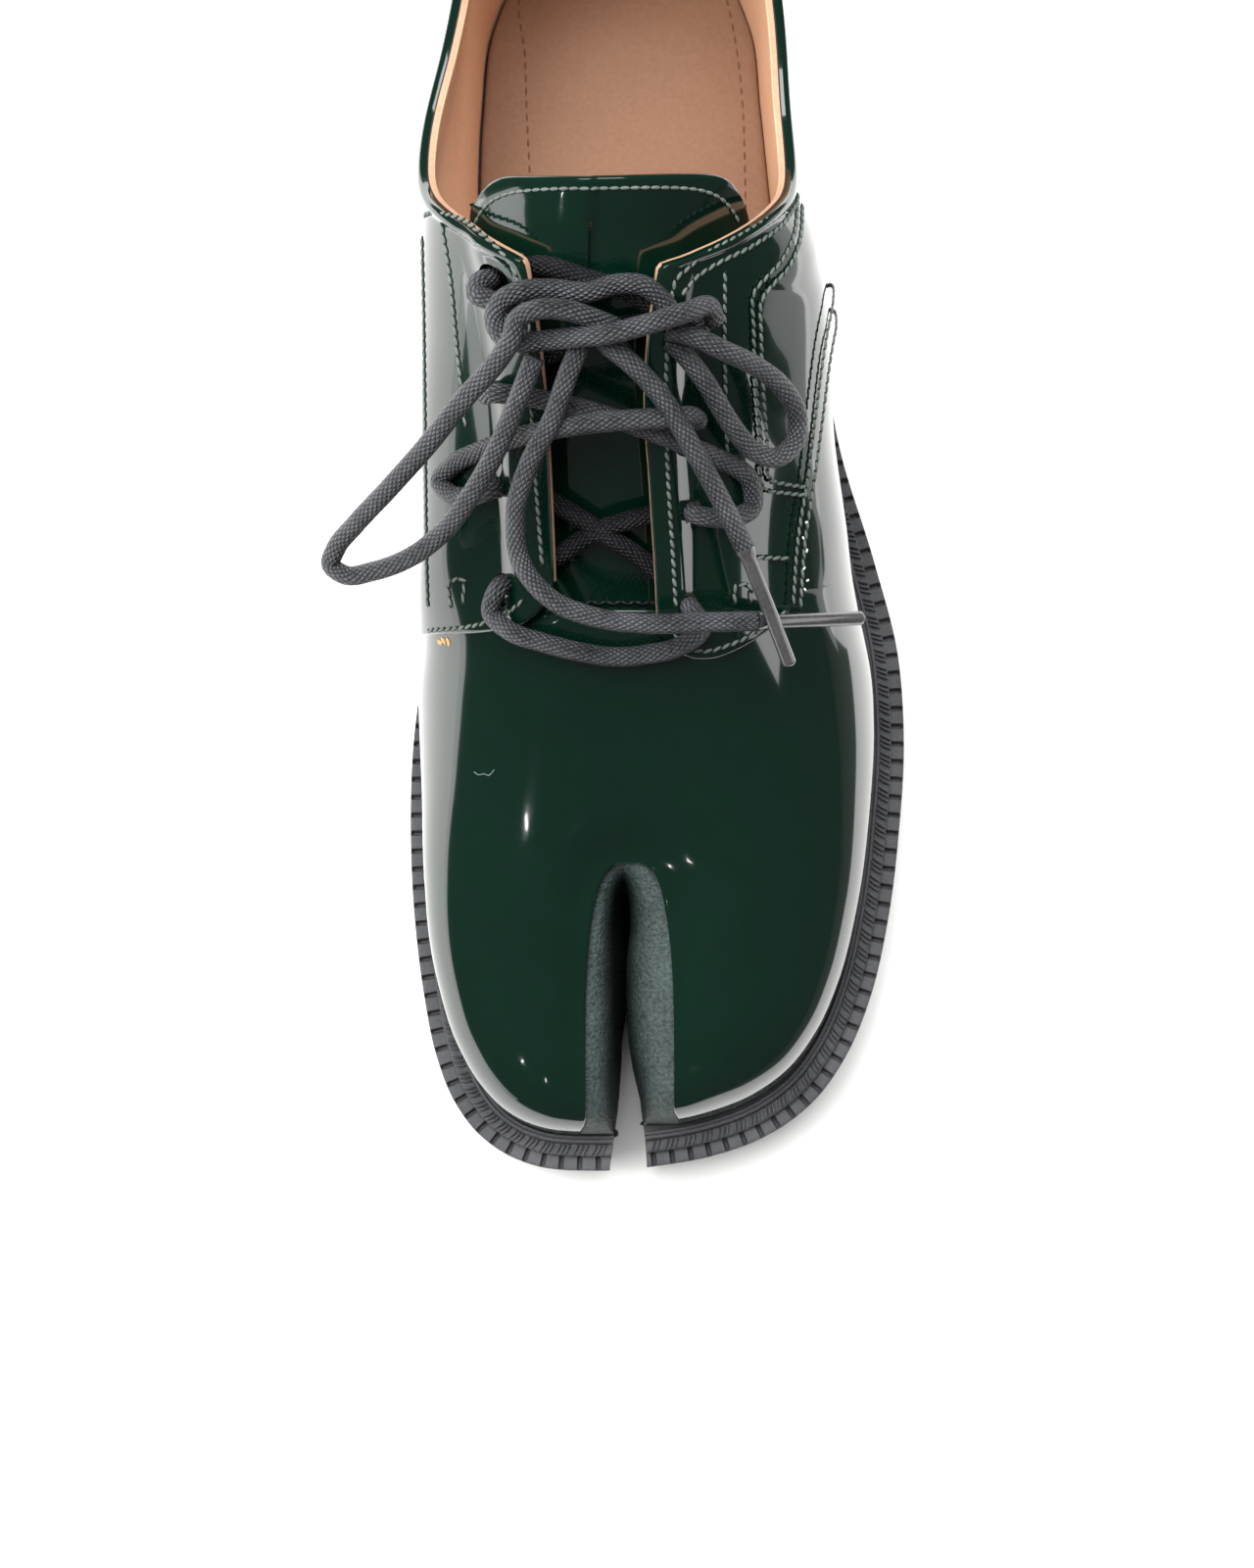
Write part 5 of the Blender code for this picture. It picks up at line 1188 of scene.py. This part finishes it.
# Tongue: a patent sheet under the lace, sewn in behind the vamp with dark thread, standing above the collar.
# A row of grey-green stitching follows its rounded top edge.
DARK_THREAD = finish("dark_shiny_thread", (0.004, 0.006, 0.006), (0.02, 0.024, 0.026), 0.2,
                     grain=(300.0, 3000.0, 0.5))
TONGUE = Table("from_toe sink medial lateral", (
    (99.0, 2.6, 12.0, 12.0), (107.0, 4.4, 14.5, 13.5), (113.0, 6.4, 16.0, 14.5), (124.0, 7.4, 18.5, 16.5),
    (137.0, 7.4, 20.0, 18.5), (151.0, 7.4, 21.5, 21.0), (164.0, 7.4, 23.5, 24.0), (174.0, 6.4, 25.5, 28.0),
    (182.0, 5.4, 25.5, 30.5), (184.6, 5.0, 24.8, 30.0), (186.0, 5.0, 23.0, 28.2)))
TONGUE_TOP, TOP_BENDS = 186.0, 150.0
TOP_BOW, TOP_CORNER, SINK_SHARE = 5.6, 4.6, 1.25
TONGUE_THICKNESS, TONGUE_ROUND, TONGUE_HALF, TONGUE_STEEP = 2.4, 0.9, 22.0, 1.2
SPREAD = np.concatenate(((-1.0, -0.99, -0.97), np.linspace(-0.94, 0.94, 41), (0.97, 0.99, 1.0)))
TONGUE_STATIONS = np.concatenate((np.linspace(99.0, 184.4, 86), (185.0, 185.4, 185.7, 185.9, TONGUE_TOP)))
TOP_SEAM_ROWS, TOP_SEAM_SPREAD = (179.0, 184.0), np.linspace(-0.93, 0.93, 120)
TOP_SEAM_BEND, TOP_SEAM_START, TOP_SEAM_LIFT = 3.4, 1.0, 0.1
FOOT_SEAM_ROWS, FOOT_SEAM_SPREAD = (115.5, 116.5), np.linspace(-0.75, 0.75, 90)
FOOT_SEAM_LIFT = 0.3
FOOT_SEAM_START, FOOT_SEAM_PITCH, FOOT_SEAM_ZIGZAG = 0.6, 1.5, 0.6
FOOT_STITCH_SIZE = (1.9, 0.8, 0.7)


def tongue_surface(stations, spread):
    """Sheet below the last's face: each station reaches its half widths and is lowered by its sink."""
    sink, medial, lateral = [TONGUE.read(name, stations)[:, None] for name in ("sink", "medial", "lateral")]
    t, s = np.meshgrid(stations, spread, indexing="ij")
    t = t + (TOP_BOW * s**2 - TOP_CORNER * s**12) * ease(TOP_BENDS, TONGUE_TOP, t)
    x = last("spine_x", t) + np.where(s < 0.0, s * medial, s * lateral)
    place = on_quarter(x.ravel(), t.ravel())[0].reshape(*t.shape, 3)
    place[..., 2] -= SINK_SHARE * sink
    normal = unit(np.cross(np.gradient(place, axis=0), np.gradient(place, axis=1)))
    return place, normal * np.where(normal[..., 2:] < 0.0, -1.0, 1.0)


def tongue_mesh():
    """Closed sheet: the upper face rounded at its border, and the same face moved down by the thickness."""
    face, normal = tongue_surface(TONGUE_STATIONS, SPREAD)
    from_top = (TONGUE_TOP - TONGUE_STATIONS) * TONGUE_STEEP
    from_side = (1.0 - np.abs(SPREAD)) * TONGUE_HALF
    drop = round_off(np.minimum(from_top[:, None], from_side), TONGUE_ROUND)
    upper = face - normal * drop[..., None]
    lower = face - normal * (TONGUE_THICKNESS - drop)[..., None]
    n, m = face.shape[:2]
    top = quads(n, m)
    rim = np.concatenate((np.arange(m), np.arange(1, n) * m + m - 1, (n - 1) * m + np.arange(m - 2, -1, -1),
                          np.arange(n - 2, 0, -1) * m))
    following = np.roll(rim, -1)
    edge = np.stack((rim, following, following + n * m, rim + n * m), axis=-1)
    points = np.vstack((upper.reshape(-1, 3), lower.reshape(-1, 3)))
    return points, np.vstack((top, top[:, ::-1] + n * m, edge))


def tongue_stitches():
    """Stitches along the top edge: a row between two stations, bent down towards both corners."""
    bend = TOP_SEAM_BEND * np.abs(np.linspace(-1.0, 1.0, len(TOP_SEAM_SPREAD))) ** 6
    place, up = tongue_surface(np.array(TOP_SEAM_ROWS), TOP_SEAM_SPREAD)
    line = place[1] + (place[0] - place[1]) * (bend / (TOP_SEAM_ROWS[1] - TOP_SEAM_ROWS[0]))[:, None]
    length = run_length(line)
    want = np.arange(TOP_SEAM_START, length[-1], STITCH_PITCH)
    facing = unit(at_distance(want, length, up[1]))
    ahead = unit(at_distance(want, length, np.gradient(line, axis=0)))
    return beads(at_distance(want, length, line) + facing * TOP_SEAM_LIFT, ahead, facing, *STITCH_SIZE)


def foot_stitches():
    """Dark thread that joins the tongue to the vamp, just behind the throat's front end."""
    place = tongue_surface(np.array(FOOT_SEAM_ROWS), FOOT_SEAM_SPREAD)[0]
    line = place[0] + UPWARD * FOOT_SEAM_LIFT
    length = run_length(line)
    want = np.arange(FOOT_SEAM_START, length[-1], FOOT_SEAM_PITCH)
    centre = at_distance(want, length, line)
    zigzag = FOOT_SEAM_ZIGZAG * (-1.0) ** np.arange(len(want))[:, None] * (0.0, 1.0, 0.0)
    ahead = unit(np.gradient(centre, axis=0) + zigzag)
    return beads(centre, ahead, np.broadcast_to(UPWARD, centre.shape), *FOOT_STITCH_SIZE)


add_piece("tongue_sheet", *tongue_mesh(), [PATENT], "green_patent_leather", nodes=("tongue",), sharp=60.0)
add_beads("tongue_foot_stitches", foot_stitches(), DARK_THREAD, "green_patent_leather")
add_beads("tongue_stitches", tongue_stitches(), THREAD, "green_patent_leather")

# Lace: one round waxed braid, about 4 mm thick, that runs in and out of the eight holes and is tied in a bow.
# It is laid through listed points; the bar and crossings are one strand, the bow is made of free cords.
LACE_RADIUS, LACE_SIDES, LACE_BED, LACE_STEP = 2.0, 18, 4.6, 0.9
PLAIT_LENGTH, PLAIT_TURNS = 3.2, 6.0
SECTION_UP = (0.21, -0.17, 1.0)
HOLE_LIFTS = np.array((-3.2, 0.2, 3.2))
HOLES_PER_SIDE = 4
TOP_HOLE_PULL = 0.4
SHADED_BELOW = 0.4


def plait_group():
    """Node group: two crossing sets of slanting waves on the cord's own run make the braid's relief."""
    tree = bpy.data.node_groups.new("plait", "ShaderNodeTree")
    tree.interface.new_socket("Relief", in_out="OUTPUT", socket_type="NodeSocketFloat")
    n = Nodes(tree)
    end = n.add("NodeGroupOutput")
    place = n.add("ShaderNodeUVMap", uv_map="run")
    split = n.add("ShaderNodeSeparateXYZ")
    n.link(place.outputs["UV"], split.inputs["Vector"])
    along = n.math("MULTIPLY", split.outputs["X"], FULL_TURN)
    around = n.math("MULTIPLY", split.outputs["Y"], FULL_TURN * PLAIT_TURNS)
    one = n.math("ABSOLUTE", n.math("SINE", n.math("ADD", along, around)))
    two = n.math("ABSOLUTE", n.math("SINE", n.math("SUBTRACT", along, around)))
    n.link(n.math("MULTIPLY", one, two), end.inputs["Relief"])
    return tree


PLAIT = plait_group()


def lace_finish(name, dark, light, roughness):
    """Waxed charcoal braid: relief of the plait, with painted shade in its hollows; its ridges stay lighter.
    """
    made = finish(name, dark, light, roughness, grain=(160.0, 1500.0, 0.5), rough_spread=0.12)
    n = Nodes(made.node_tree)
    relief = n.add("ShaderNodeGroup", node_tree=PLAIT)
    height = n.add("ShaderNodeBump")
    height.inputs["Strength"].default_value = 0.9
    height.inputs["Distance"].default_value = 0.0006
    n.link(relief.outputs["Relief"], height.inputs["Height"])
    n.link(height.outputs["Normal"], made.node_tree.nodes["Principled BSDF"].inputs["Normal"])
    # Painted shade: the colour is scaled down in the plait's hollows.
    hollow_shade = n.add("ShaderNodeMapRange")
    hollow_shade.inputs["From Max"].default_value = 0.6
    hollow_shade.inputs["To Min"].default_value = 0.25
    n.link(relief.outputs["Relief"], hollow_shade.inputs["Value"])
    scale_colour(made, hollow_shade.outputs["Result"])
    return made


BRAID = lace_finish("waxed_charcoal_braid", (0.018, 0.0186, 0.021), (0.122, 0.126, 0.138), 0.40)
# A darker, glossier copy of the braid: painted shade for the strands that run inside the throat.
SHADED_BRAID = lace_finish("braid_painted_shade", (0.006, 0.0064, 0.0074), (0.028, 0.029, 0.033), 0.25)


def laid_curve(route, step):
    """Smooth curve by chord length through route points."""
    knots = np.asarray(route, float)
    chord = run_length(knots)
    return curve_through(np.linspace(0.0, chord[-1], max(int(chord[-1] / step), 8)), chord, knots)


def tube(centre, radius, sides=LACE_SIDES):
    """Round section carried along a path, with its run and turn as the map of the surface and closed ends."""
    ahead = unit(np.gradient(centre, axis=0))
    side = unit(np.cross(ahead, SECTION_UP))
    up = np.cross(side, ahead)
    spin = np.linspace(0.0, FULL_TURN, sides, endpoint=False)
    radius = np.broadcast_to(radius, (len(centre),))
    ring = np.cos(spin)[None, :, None] * side[:, None] + np.sin(spin)[None, :, None] * up[:, None]
    body = centre[:, None] + ring * radius[:, None, None]
    first, final = [np.repeat(end[None, None], sides, axis=1) for end in (centre[0], centre[-1])]
    points = np.concatenate((first, body, final))
    length = run_length(centre)
    run = np.concatenate(([0.0], length, length[-1:])) / PLAIT_LENGTH
    faces = quads(len(points), sides, loop_columns=True)
    return points, faces, corner_map(run, np.arange(sides + 1) / sides)


def inside(stops):
    """Route between the quarters and the tongue, from stops (beside the spine, from_toe)."""
    beside, from_toe = np.array(stops).T
    return on_quarter(last("spine_x", from_toe) + beside, from_toe, -LACE_BED)[0]


def through_hole(number, side, outwards):
    """Three points that carry the lace through an eyelet, numbered from the toe."""
    k = number - 1 + (0 if side == MEDIAL else HOLES_PER_SIDE)
    points = EYELET_PLACE[k] + EYELET_NORMAL[k] * HOLE_LIFTS[:, None]
    points[:, 0] -= TOP_HOLE_PULL if k == TOP_MEDIAL else 0.0
    return points if outwards else points[::-1]


def over(stops):
    """Route laid on the quarters, from stops (x, from_toe, height of the lace's middle above the leather)."""
    return on_quarter(*np.array(stops).T)[0]


TOP_LOOP = ((-26.0, 161.6, 103.6), (-28.8, 162.7, 103.6), (-32.4, 164.5, 103.4), (-36.0, 166.6, 103.4))
UPPER_STRAND = ((-23.6, 172.0, 103.0), (-14.3, 168.6, 104.6), (-5.9, 166.1, 103.6), (2.6, 161.6, 98.0),
                (6.6, 154.0, 91.0))
BAR = ((7.6, 109.6, 3.4), (3.0, 106.0, 2.6), (-2.8, 104.5, 2.5), (-8.8, 103.9, 2.5), (-15.4, 104.8, 2.5),
       (-22.2, 106.9, 2.6), (-28.6, 110.0, 3.4), (-32.6, 114.0, 4.2))
OUTER_MEDIAL = ((4.6, 147.6, 5.0), (-1.0, 148.0, 6.6), (-6.0, 147.8, 7.2), (-15.0, 146.8, 6.8),
                (-24.0, 145.2, 5.4), (-33.8, 143.2, 3.2), (-40.2, 141.6, 3.0), (-42.6, 139.2, 3.4),
                (-40.2, 136.6, 4.0))
OUTER_LATERAL = ((11.2, 130.4, 4.4), (16.9, 132.8, 3.2), (16.6, 137.0, 2.9), (9.6, 140.6, 2.6),
                 (2.7, 142.8, 2.5), (-6.8, 145.6, 1.4), (-16.3, 148.3, 1.6), (-24.6, 151.0, 2.4),
                 (-29.4, 152.8, 4.4))
INNER_LOW = ((-13.0, 132.5), (0.0, 125.0), (10.0, 119.0))
INNER_MIDDLE = ((-13.0, 120.5), (0.0, 126.0), (11.0, 128.8))
INNER_TOP = ((-13.0, 155.0), (0.0, 158.5), (12.0, 161.0))


def lacing_route():
    """The run from the knot through the medial top hole down to the bar and up to the lateral top hole."""
    return np.vstack((
        TOP_LOOP, through_hole(4, MEDIAL, False), UPPER_STRAND,
        through_hole(3, LATERAL, True), over(OUTER_MEDIAL), through_hole(2, MEDIAL, False), inside(INNER_LOW),
        through_hole(1, LATERAL, True), over(BAR), through_hole(1, MEDIAL, False), inside(INNER_MIDDLE),
        through_hole(2, LATERAL, True), over(OUTER_LATERAL), through_hole(3, MEDIAL, False),
        inside(INNER_TOP), through_hole(4, LATERAL, True)))


lacing_path = laid_curve(lacing_route(), LACE_STEP)
lacing_points, lacing_faces, lacing_uv = tube(lacing_path, LACE_RADIUS)
leather, leather_up = on_quarter(lacing_path[:, 0], lacing_path[:, 1])
# Painted shade: strands lying below the quarters' face, inside the throat, take the darker braid.
in_shade = np.sum((lacing_path - leather) * leather_up, axis=1) < SHADED_BELOW
in_shade = np.concatenate((in_shade[:1], in_shade))
add_piece("lace_lacing", lacing_points, lacing_faces, [BRAID, SHADED_BRAID], "waxed_charcoal_cord",
          nodes=("lace_bar", "lace_cross_low", "lace_cross_mid", "lace_cross_top"),
          face_skin=np.repeat(in_shade, LACE_SIDES), corner_uv=lacing_uv, sharp=180.0)
KNOT_BAND = ((9.9, 161.1, 102.5), (8.9, 162.6, 106.0), (4.6, 160.3, 109.5), (-3.2, 157.1, 111.5),
             (-10.5, 155.2, 111.5), (-16.5, 155.3, 109.5), (-21.7, 155.6, 107.0), (-27.4, 155.7, 105.5),
             (-31.1, 157.5, 105.5), (-32.2, 160.3, 106.5), (-30.9, 162.8, 108.0), (-27.7, 164.4, 109.0),
             (-21.7, 165.2, 108.5), (-14.3, 164.8, 107.8), (-8.7, 166.3, 108.2), (-3.9, 166.1, 108.0),
             (0.1, 163.6, 106.0), (2.5, 160.4, 104.0))
LOOP_MEDIAL = ((-9.1, 158.3, 106.5), (-12.8, 158.4, 110.5), (-17.9, 159.2, 113.2), (-23.8, 159.3, 113.4),
               (-27.3, 158.1, 111.8), (-28.8, 154.5, 110.0), (-32.3, 150.5, 106.5), (-37.2, 146.4, 102.5),
               (-45.2, 139.0, 95.0), (-53.4, 132.5, 87.0), (-61.1, 126.8, 79.5), (-65.3, 123.2, 75.0),
               (-66.5, 120.4, 72.5), (-63.7, 118.5, 72.0), (-58.1, 119.0, 73.0), (-50.4, 121.1, 76.0),
               (-43.2, 125.2, 81.0), (-36.6, 132.0, 88.0), (-31.5, 139.0, 95.0), (-27.3, 146.4, 102.0),
               (-24.5, 152.1, 106.5))
LOOP_LATERAL = ((0.6, 158.3, 105.0), (5.7, 157.3, 104.5), (11.4, 155.4, 102.0), (17.8, 154.0, 97.0),
                (23.7, 151.2, 91.5), (26.8, 146.9, 87.0), (26.3, 142.3, 84.5), (22.9, 139.4, 84.0),
                (18.5, 139.9, 86.2), (14.6, 142.7, 90.2), (11.2, 146.5, 94.5), (8.1, 150.6, 98.0),
                (4.6, 154.6, 100.2), (1.6, 157.6, 101.0))
END_MEDIAL = ((-14.6, 157.4, 105.6), (-15.8, 154.8, 105.6), (-17.7, 150.8, 104.2), (-21.4, 142.1, 99.0),
              (-25.7, 135.4, 94.0), (-28.7, 127.3, 87.0), (-27.5, 118.1, 81.0), (-21.4, 111.6, 78.5),
              (-12.7, 108.3, 78.0), (-3.0, 107.1, 78.0), (8.7, 107.4, 78.0), (18.9, 108.3, 75.0))
END_LATERAL = ((-12.4, 157.2, 106.2), (-10.2, 154.5, 106.8), (-7.2, 152.3, 106.0), (0.1, 145.9, 101.0),
               (6.3, 137.3, 94.5), (12.4, 128.1, 87.5), (16.4, 121.3, 82.4))
AGLET_MEDIAL = ((18.9, 108.3, 75.0), (19.9, 108.4, 74.4), (30.4, 110.2, 67.6), (41.6, 112.4, 60.0))
AGLET_LATERAL = ((16.4, 121.3, 82.4), (17.0, 119.9, 81.8), (21.3, 110.3, 77.4), (25.8, 99.8, 72.4))
AGLET_RADIUS, AGLET_OVERLAP, AGLET_NECK = 1.45, 0.1, 3.0
AGLET_ROUND, AGLET_ROUND_LENGTH, AGLET_STEP = 0.5, 0.6, 0.5
AGLET_SKIN = finish("grey_shrunk_tip", (0.030, 0.030, 0.032), (0.055, 0.054, 0.055), 0.2,
                    grain=(200.0, 1200.0, 0.5), bump=0.0001, Coat_Weight=0.6, Coat_Roughness=0.08)


def free_cord(name, route, node):
    """Lays one free cord and replaces its solid."""
    path = laid_curve(route, LACE_STEP)
    points, faces, uv = tube(path, LACE_RADIUS)
    made = add_piece(name, points, faces, [BRAID], "waxed_charcoal_cord", nodes=(node,), corner_uv=uv,
                     sharp=180.0)


def aglet(name, route, node):
    """Shrunk plastic tip: narrows from the lace's thickness down to its own and ends in a rounded edge."""
    path = laid_curve(route, AGLET_STEP)
    run = run_length(path)
    neck = (LACE_RADIUS + AGLET_OVERLAP - AGLET_RADIUS) * (1.0 - ease(0.0, AGLET_NECK, run))
    past = np.clip((run - run[-1] + AGLET_ROUND_LENGTH) / AGLET_ROUND_LENGTH, 0.0, 1.0)
    radius = AGLET_RADIUS + neck - AGLET_ROUND * (1.0 - np.sqrt(np.clip(1.0 - past**2, 0.0, 1.0)))
    points, faces, uv = tube(path, radius)
    return add_piece(name, points, faces, [AGLET_SKIN], "grey_plastic_tip", nodes=(node,), corner_uv=uv,
                     sharp=50.0)


tip_medial = aglet("aglet_tip_medial", AGLET_MEDIAL, "aglet_medial")
tip_lateral = aglet("aglet_tip_lateral", AGLET_LATERAL, "aglet_lateral")
free_cord("bow_knot", KNOT_BAND, "lace_knot")
free_cord("bow_loop_medial", LOOP_MEDIAL, "lace_loop_medial")
free_cord("bow_loop_lateral", LOOP_LATERAL, "lace_loop_lateral")
free_cord("bow_end_medial", END_MEDIAL, "lace_end_medial")
free_cord("bow_end_lateral", END_LATERAL, "lace_end_lateral")

# Marks: a smear of dried glue at the foot of the medial quarter, dust by the lateral seam and a stray fibre.
# They lie on the leather as small flat beads and a hair-thin tube.
GLUE_SPOT = finish("dried_glue", (0.40, 0.22, 0.08), (0.52, 0.33, 0.15), 0.5)
DUST_SPECK = finish("white_dust", (0.66, 0.66, 0.62), (0.82, 0.82, 0.78), 0.9)
FIBRE = finish("grey_fibre", (0.13, 0.16, 0.15), (0.22, 0.25, 0.24), 0.8)
GLUE_PLACES = ((-46.2, 109.8), (-45.4, 109.9), (-44.3, 109.4))
GLUE_LIFT, GLUE_SIZE = 0.1, (2.0, 1.2, 0.4)
DUST_PLACES = ((29.0, 131.6), (28.4, 128.5), (29.2, 126.3), (28.7, 122.8), (29.5, 120.6), (29.0, 118.7))
DUST_LIFT, DUST_SIZE = STEP + 0.25, (0.9, 0.55, 0.4)
FIBRE_PLACES = ((-38.9, 82.7), (-37.9, 82.0), (-36.8, 82.1), (-35.8, 81.7), (-34.5, 82.7))
FIBRE_LIFT, FIBRE_RADIUS, FIBRE_STEP, FIBRE_SIDES = 0.15, 0.08, 0.25, 6
TURN_EACH = 2.4


def lying_beads(places, lift, size):
    """Flat beads at plan places, each lying on the leather and turned its own way."""
    centre, up = on_quarter(*np.array(places).T, lift)
    turn = np.arange(len(places)) * TURN_EACH
    ahead = np.column_stack((np.cos(turn), np.sin(turn), np.zeros(len(places))))
    ahead = unit(ahead - up * np.sum(ahead * up, axis=1)[:, None])
    return beads(centre, ahead, up, *size)


add_beads("glue_smear", lying_beads(GLUE_PLACES, GLUE_LIFT, GLUE_SIZE), GLUE_SPOT, "green_patent_leather")
add_beads("dust_specks", lying_beads(DUST_PLACES, DUST_LIFT, DUST_SIZE), DUST_SPECK, "green_patent_leather")
fibre_line = on_quarter(*np.array(FIBRE_PLACES).T, FIBRE_LIFT)[0]
fibre_points, fibre_faces, fibre_uv = tube(laid_curve(fibre_line, FIBRE_STEP), FIBRE_RADIUS, FIBRE_SIDES)
add_piece("stray_fibre", fibre_points, fibre_faces, [FIBRE], "green_patent_leather", corner_uv=fibre_uv,
          sharp=80.0)

# Stage: a pale floor, lit by a broad soft light overhead, a window on the left and one behind the shoe.
# A low white wall and small cards show in the patent leather; the floor away from the shoe shows dark in it.
# The camera looks steeply down on the toe, tilted a little towards the heel.
GROUND_HALF, GROUND_Z, GROUND_DIM, SKY_DIM = 3.0, -0.00005, 0.09, 0.10
SHEET_CORNERS = [(-1.0, -0.6, 0.0), (0.119, -0.6, 0.0), (0.143, -0.02, 0.0), (0.32, -0.02, 0.0),
                 (0.32, 0.6, 0.0), (-1.0, 0.6, 0.0), (-1.0, -0.02, 0.0)]
GROUND_CORNERS = [(x * GROUND_HALF, y * GROUND_HALF, GROUND_Z)
                  for x, y in ((-1, -1), (1, -1), (1, 1), (-1, 1))]
FLOOR_FACES = [(0, 1, 2, 6), (6, 2, 3, 4, 5), (7, 8, 9, 10)]


def seen_or(tree, least):
    """Value 1 for what the camera sees itself, and a lower one for reflections and bounced light."""
    n = Nodes(tree)
    return n.math("MAXIMUM", n.add("ShaderNodeLightPath").outputs["Is Camera Ray"], least)


white_sheet, pale_ground = [finish(name, (0.90, 0.89, 0.88), (0.92, 0.915, 0.905), 0.8, bump=0.00005)
                            for name in ("white_sheet", "pale_ground")]
scale_colour(pale_ground, seen_or(pale_ground.node_tree, GROUND_DIM))
floor_mesh = bpy.data.meshes.new("floor")
floor_mesh.from_pydata(SHEET_CORNERS + GROUND_CORNERS, [], FLOOR_FACES)
for floor_skin in (white_sheet, pale_ground):
    floor_mesh.materials.append(floor_skin)
floor_mesh.polygons.foreach_set("material_index", np.array((0, 0, 1), np.int32))
put_in_scene("floor", floor_mesh)


def soft_light(name, place, aim, size, power, glossy=True):
    """Rectangular light at a place, turned to an aim; its face is hidden from the camera."""
    data = bpy.data.lights.new(name, "AREA")
    data.shape = "RECTANGLE"
    data.size, data.size_y = size
    data.energy = power
    made = put_in_scene(name, data)
    made.location = place
    away = np.array(place) - np.array(aim)
    made.rotation_euler = (math.atan2(math.hypot(away[0], away[1]), away[2]), 0.0,
                           math.atan2(away[0], -away[1]))
    made.visible_glossy = glossy
    made.visible_camera = False


soft_light("overhead", (0.0, 0.7, 1.7), (0.0, 0.0, 0.0), (2.4, 2.0), 85.0, glossy=False)
soft_light("window_left", (-0.9, -0.1, 1.0), (-0.35, -0.1, 0.0), (1.0, 1.4), 26.0, glossy=False)
soft_light("low_wall_left", (-1.05, -0.2, 0.0325), (0.0, -0.2, 0.0325), (2.2, 0.065), 1.0)
soft_light("card_right", (0.25, 0.06, 0.045), (0.0, 0.06, 0.045), (0.18, 0.09), 0.05)
soft_light("card_lateral", (0.072, -0.034, 0.086), (0.006, -0.008, 0.078), (0.055, 0.020), 0.009)
soft_light("card_medial", (-0.105, 0.004, 0.106), (-0.031, 0.03, 0.100), (0.07, 0.034), 0.018)
soft_light("window_back", (-0.05, 0.46, 1.0), (0.0, 0.05, 0.1), (0.45, 0.22), 2.0)
soft_light("lamp_0", (-0.93, -0.66, 1.0), (0.0, -0.08, 0.04), (0.022, 0.06), 0.12)
soft_light("lamp_1", (-0.06, -0.254, 0.222), (0.0, -0.08, 0.04), (0.006, 0.014), 0.0045)
world = bpy.data.worlds.new("studio")
world.use_nodes = True
backdrop = world.node_tree.nodes["Background"]
backdrop.inputs["Color"].default_value = (0.93, 0.97, 1.0, 1.0)
world.node_tree.links.new(seen_or(world.node_tree, SKY_DIM), backdrop.inputs["Strength"])
bpy.context.scene.world = world
bpy.context.scene.view_settings.view_transform = "Standard"

camera_data = bpy.data.cameras.new("camera")
camera_data.sensor_fit = "VERTICAL"
camera_data.sensor_height = 36.0
camera_data.lens = 56.25
camera = put_in_scene("camera", camera_data)
camera.location = (-0.00685, -0.1437, 0.553)
camera.rotation_euler = (math.radians(9.1), 0.0, 0.0)
bpy.context.scene.camera = camera
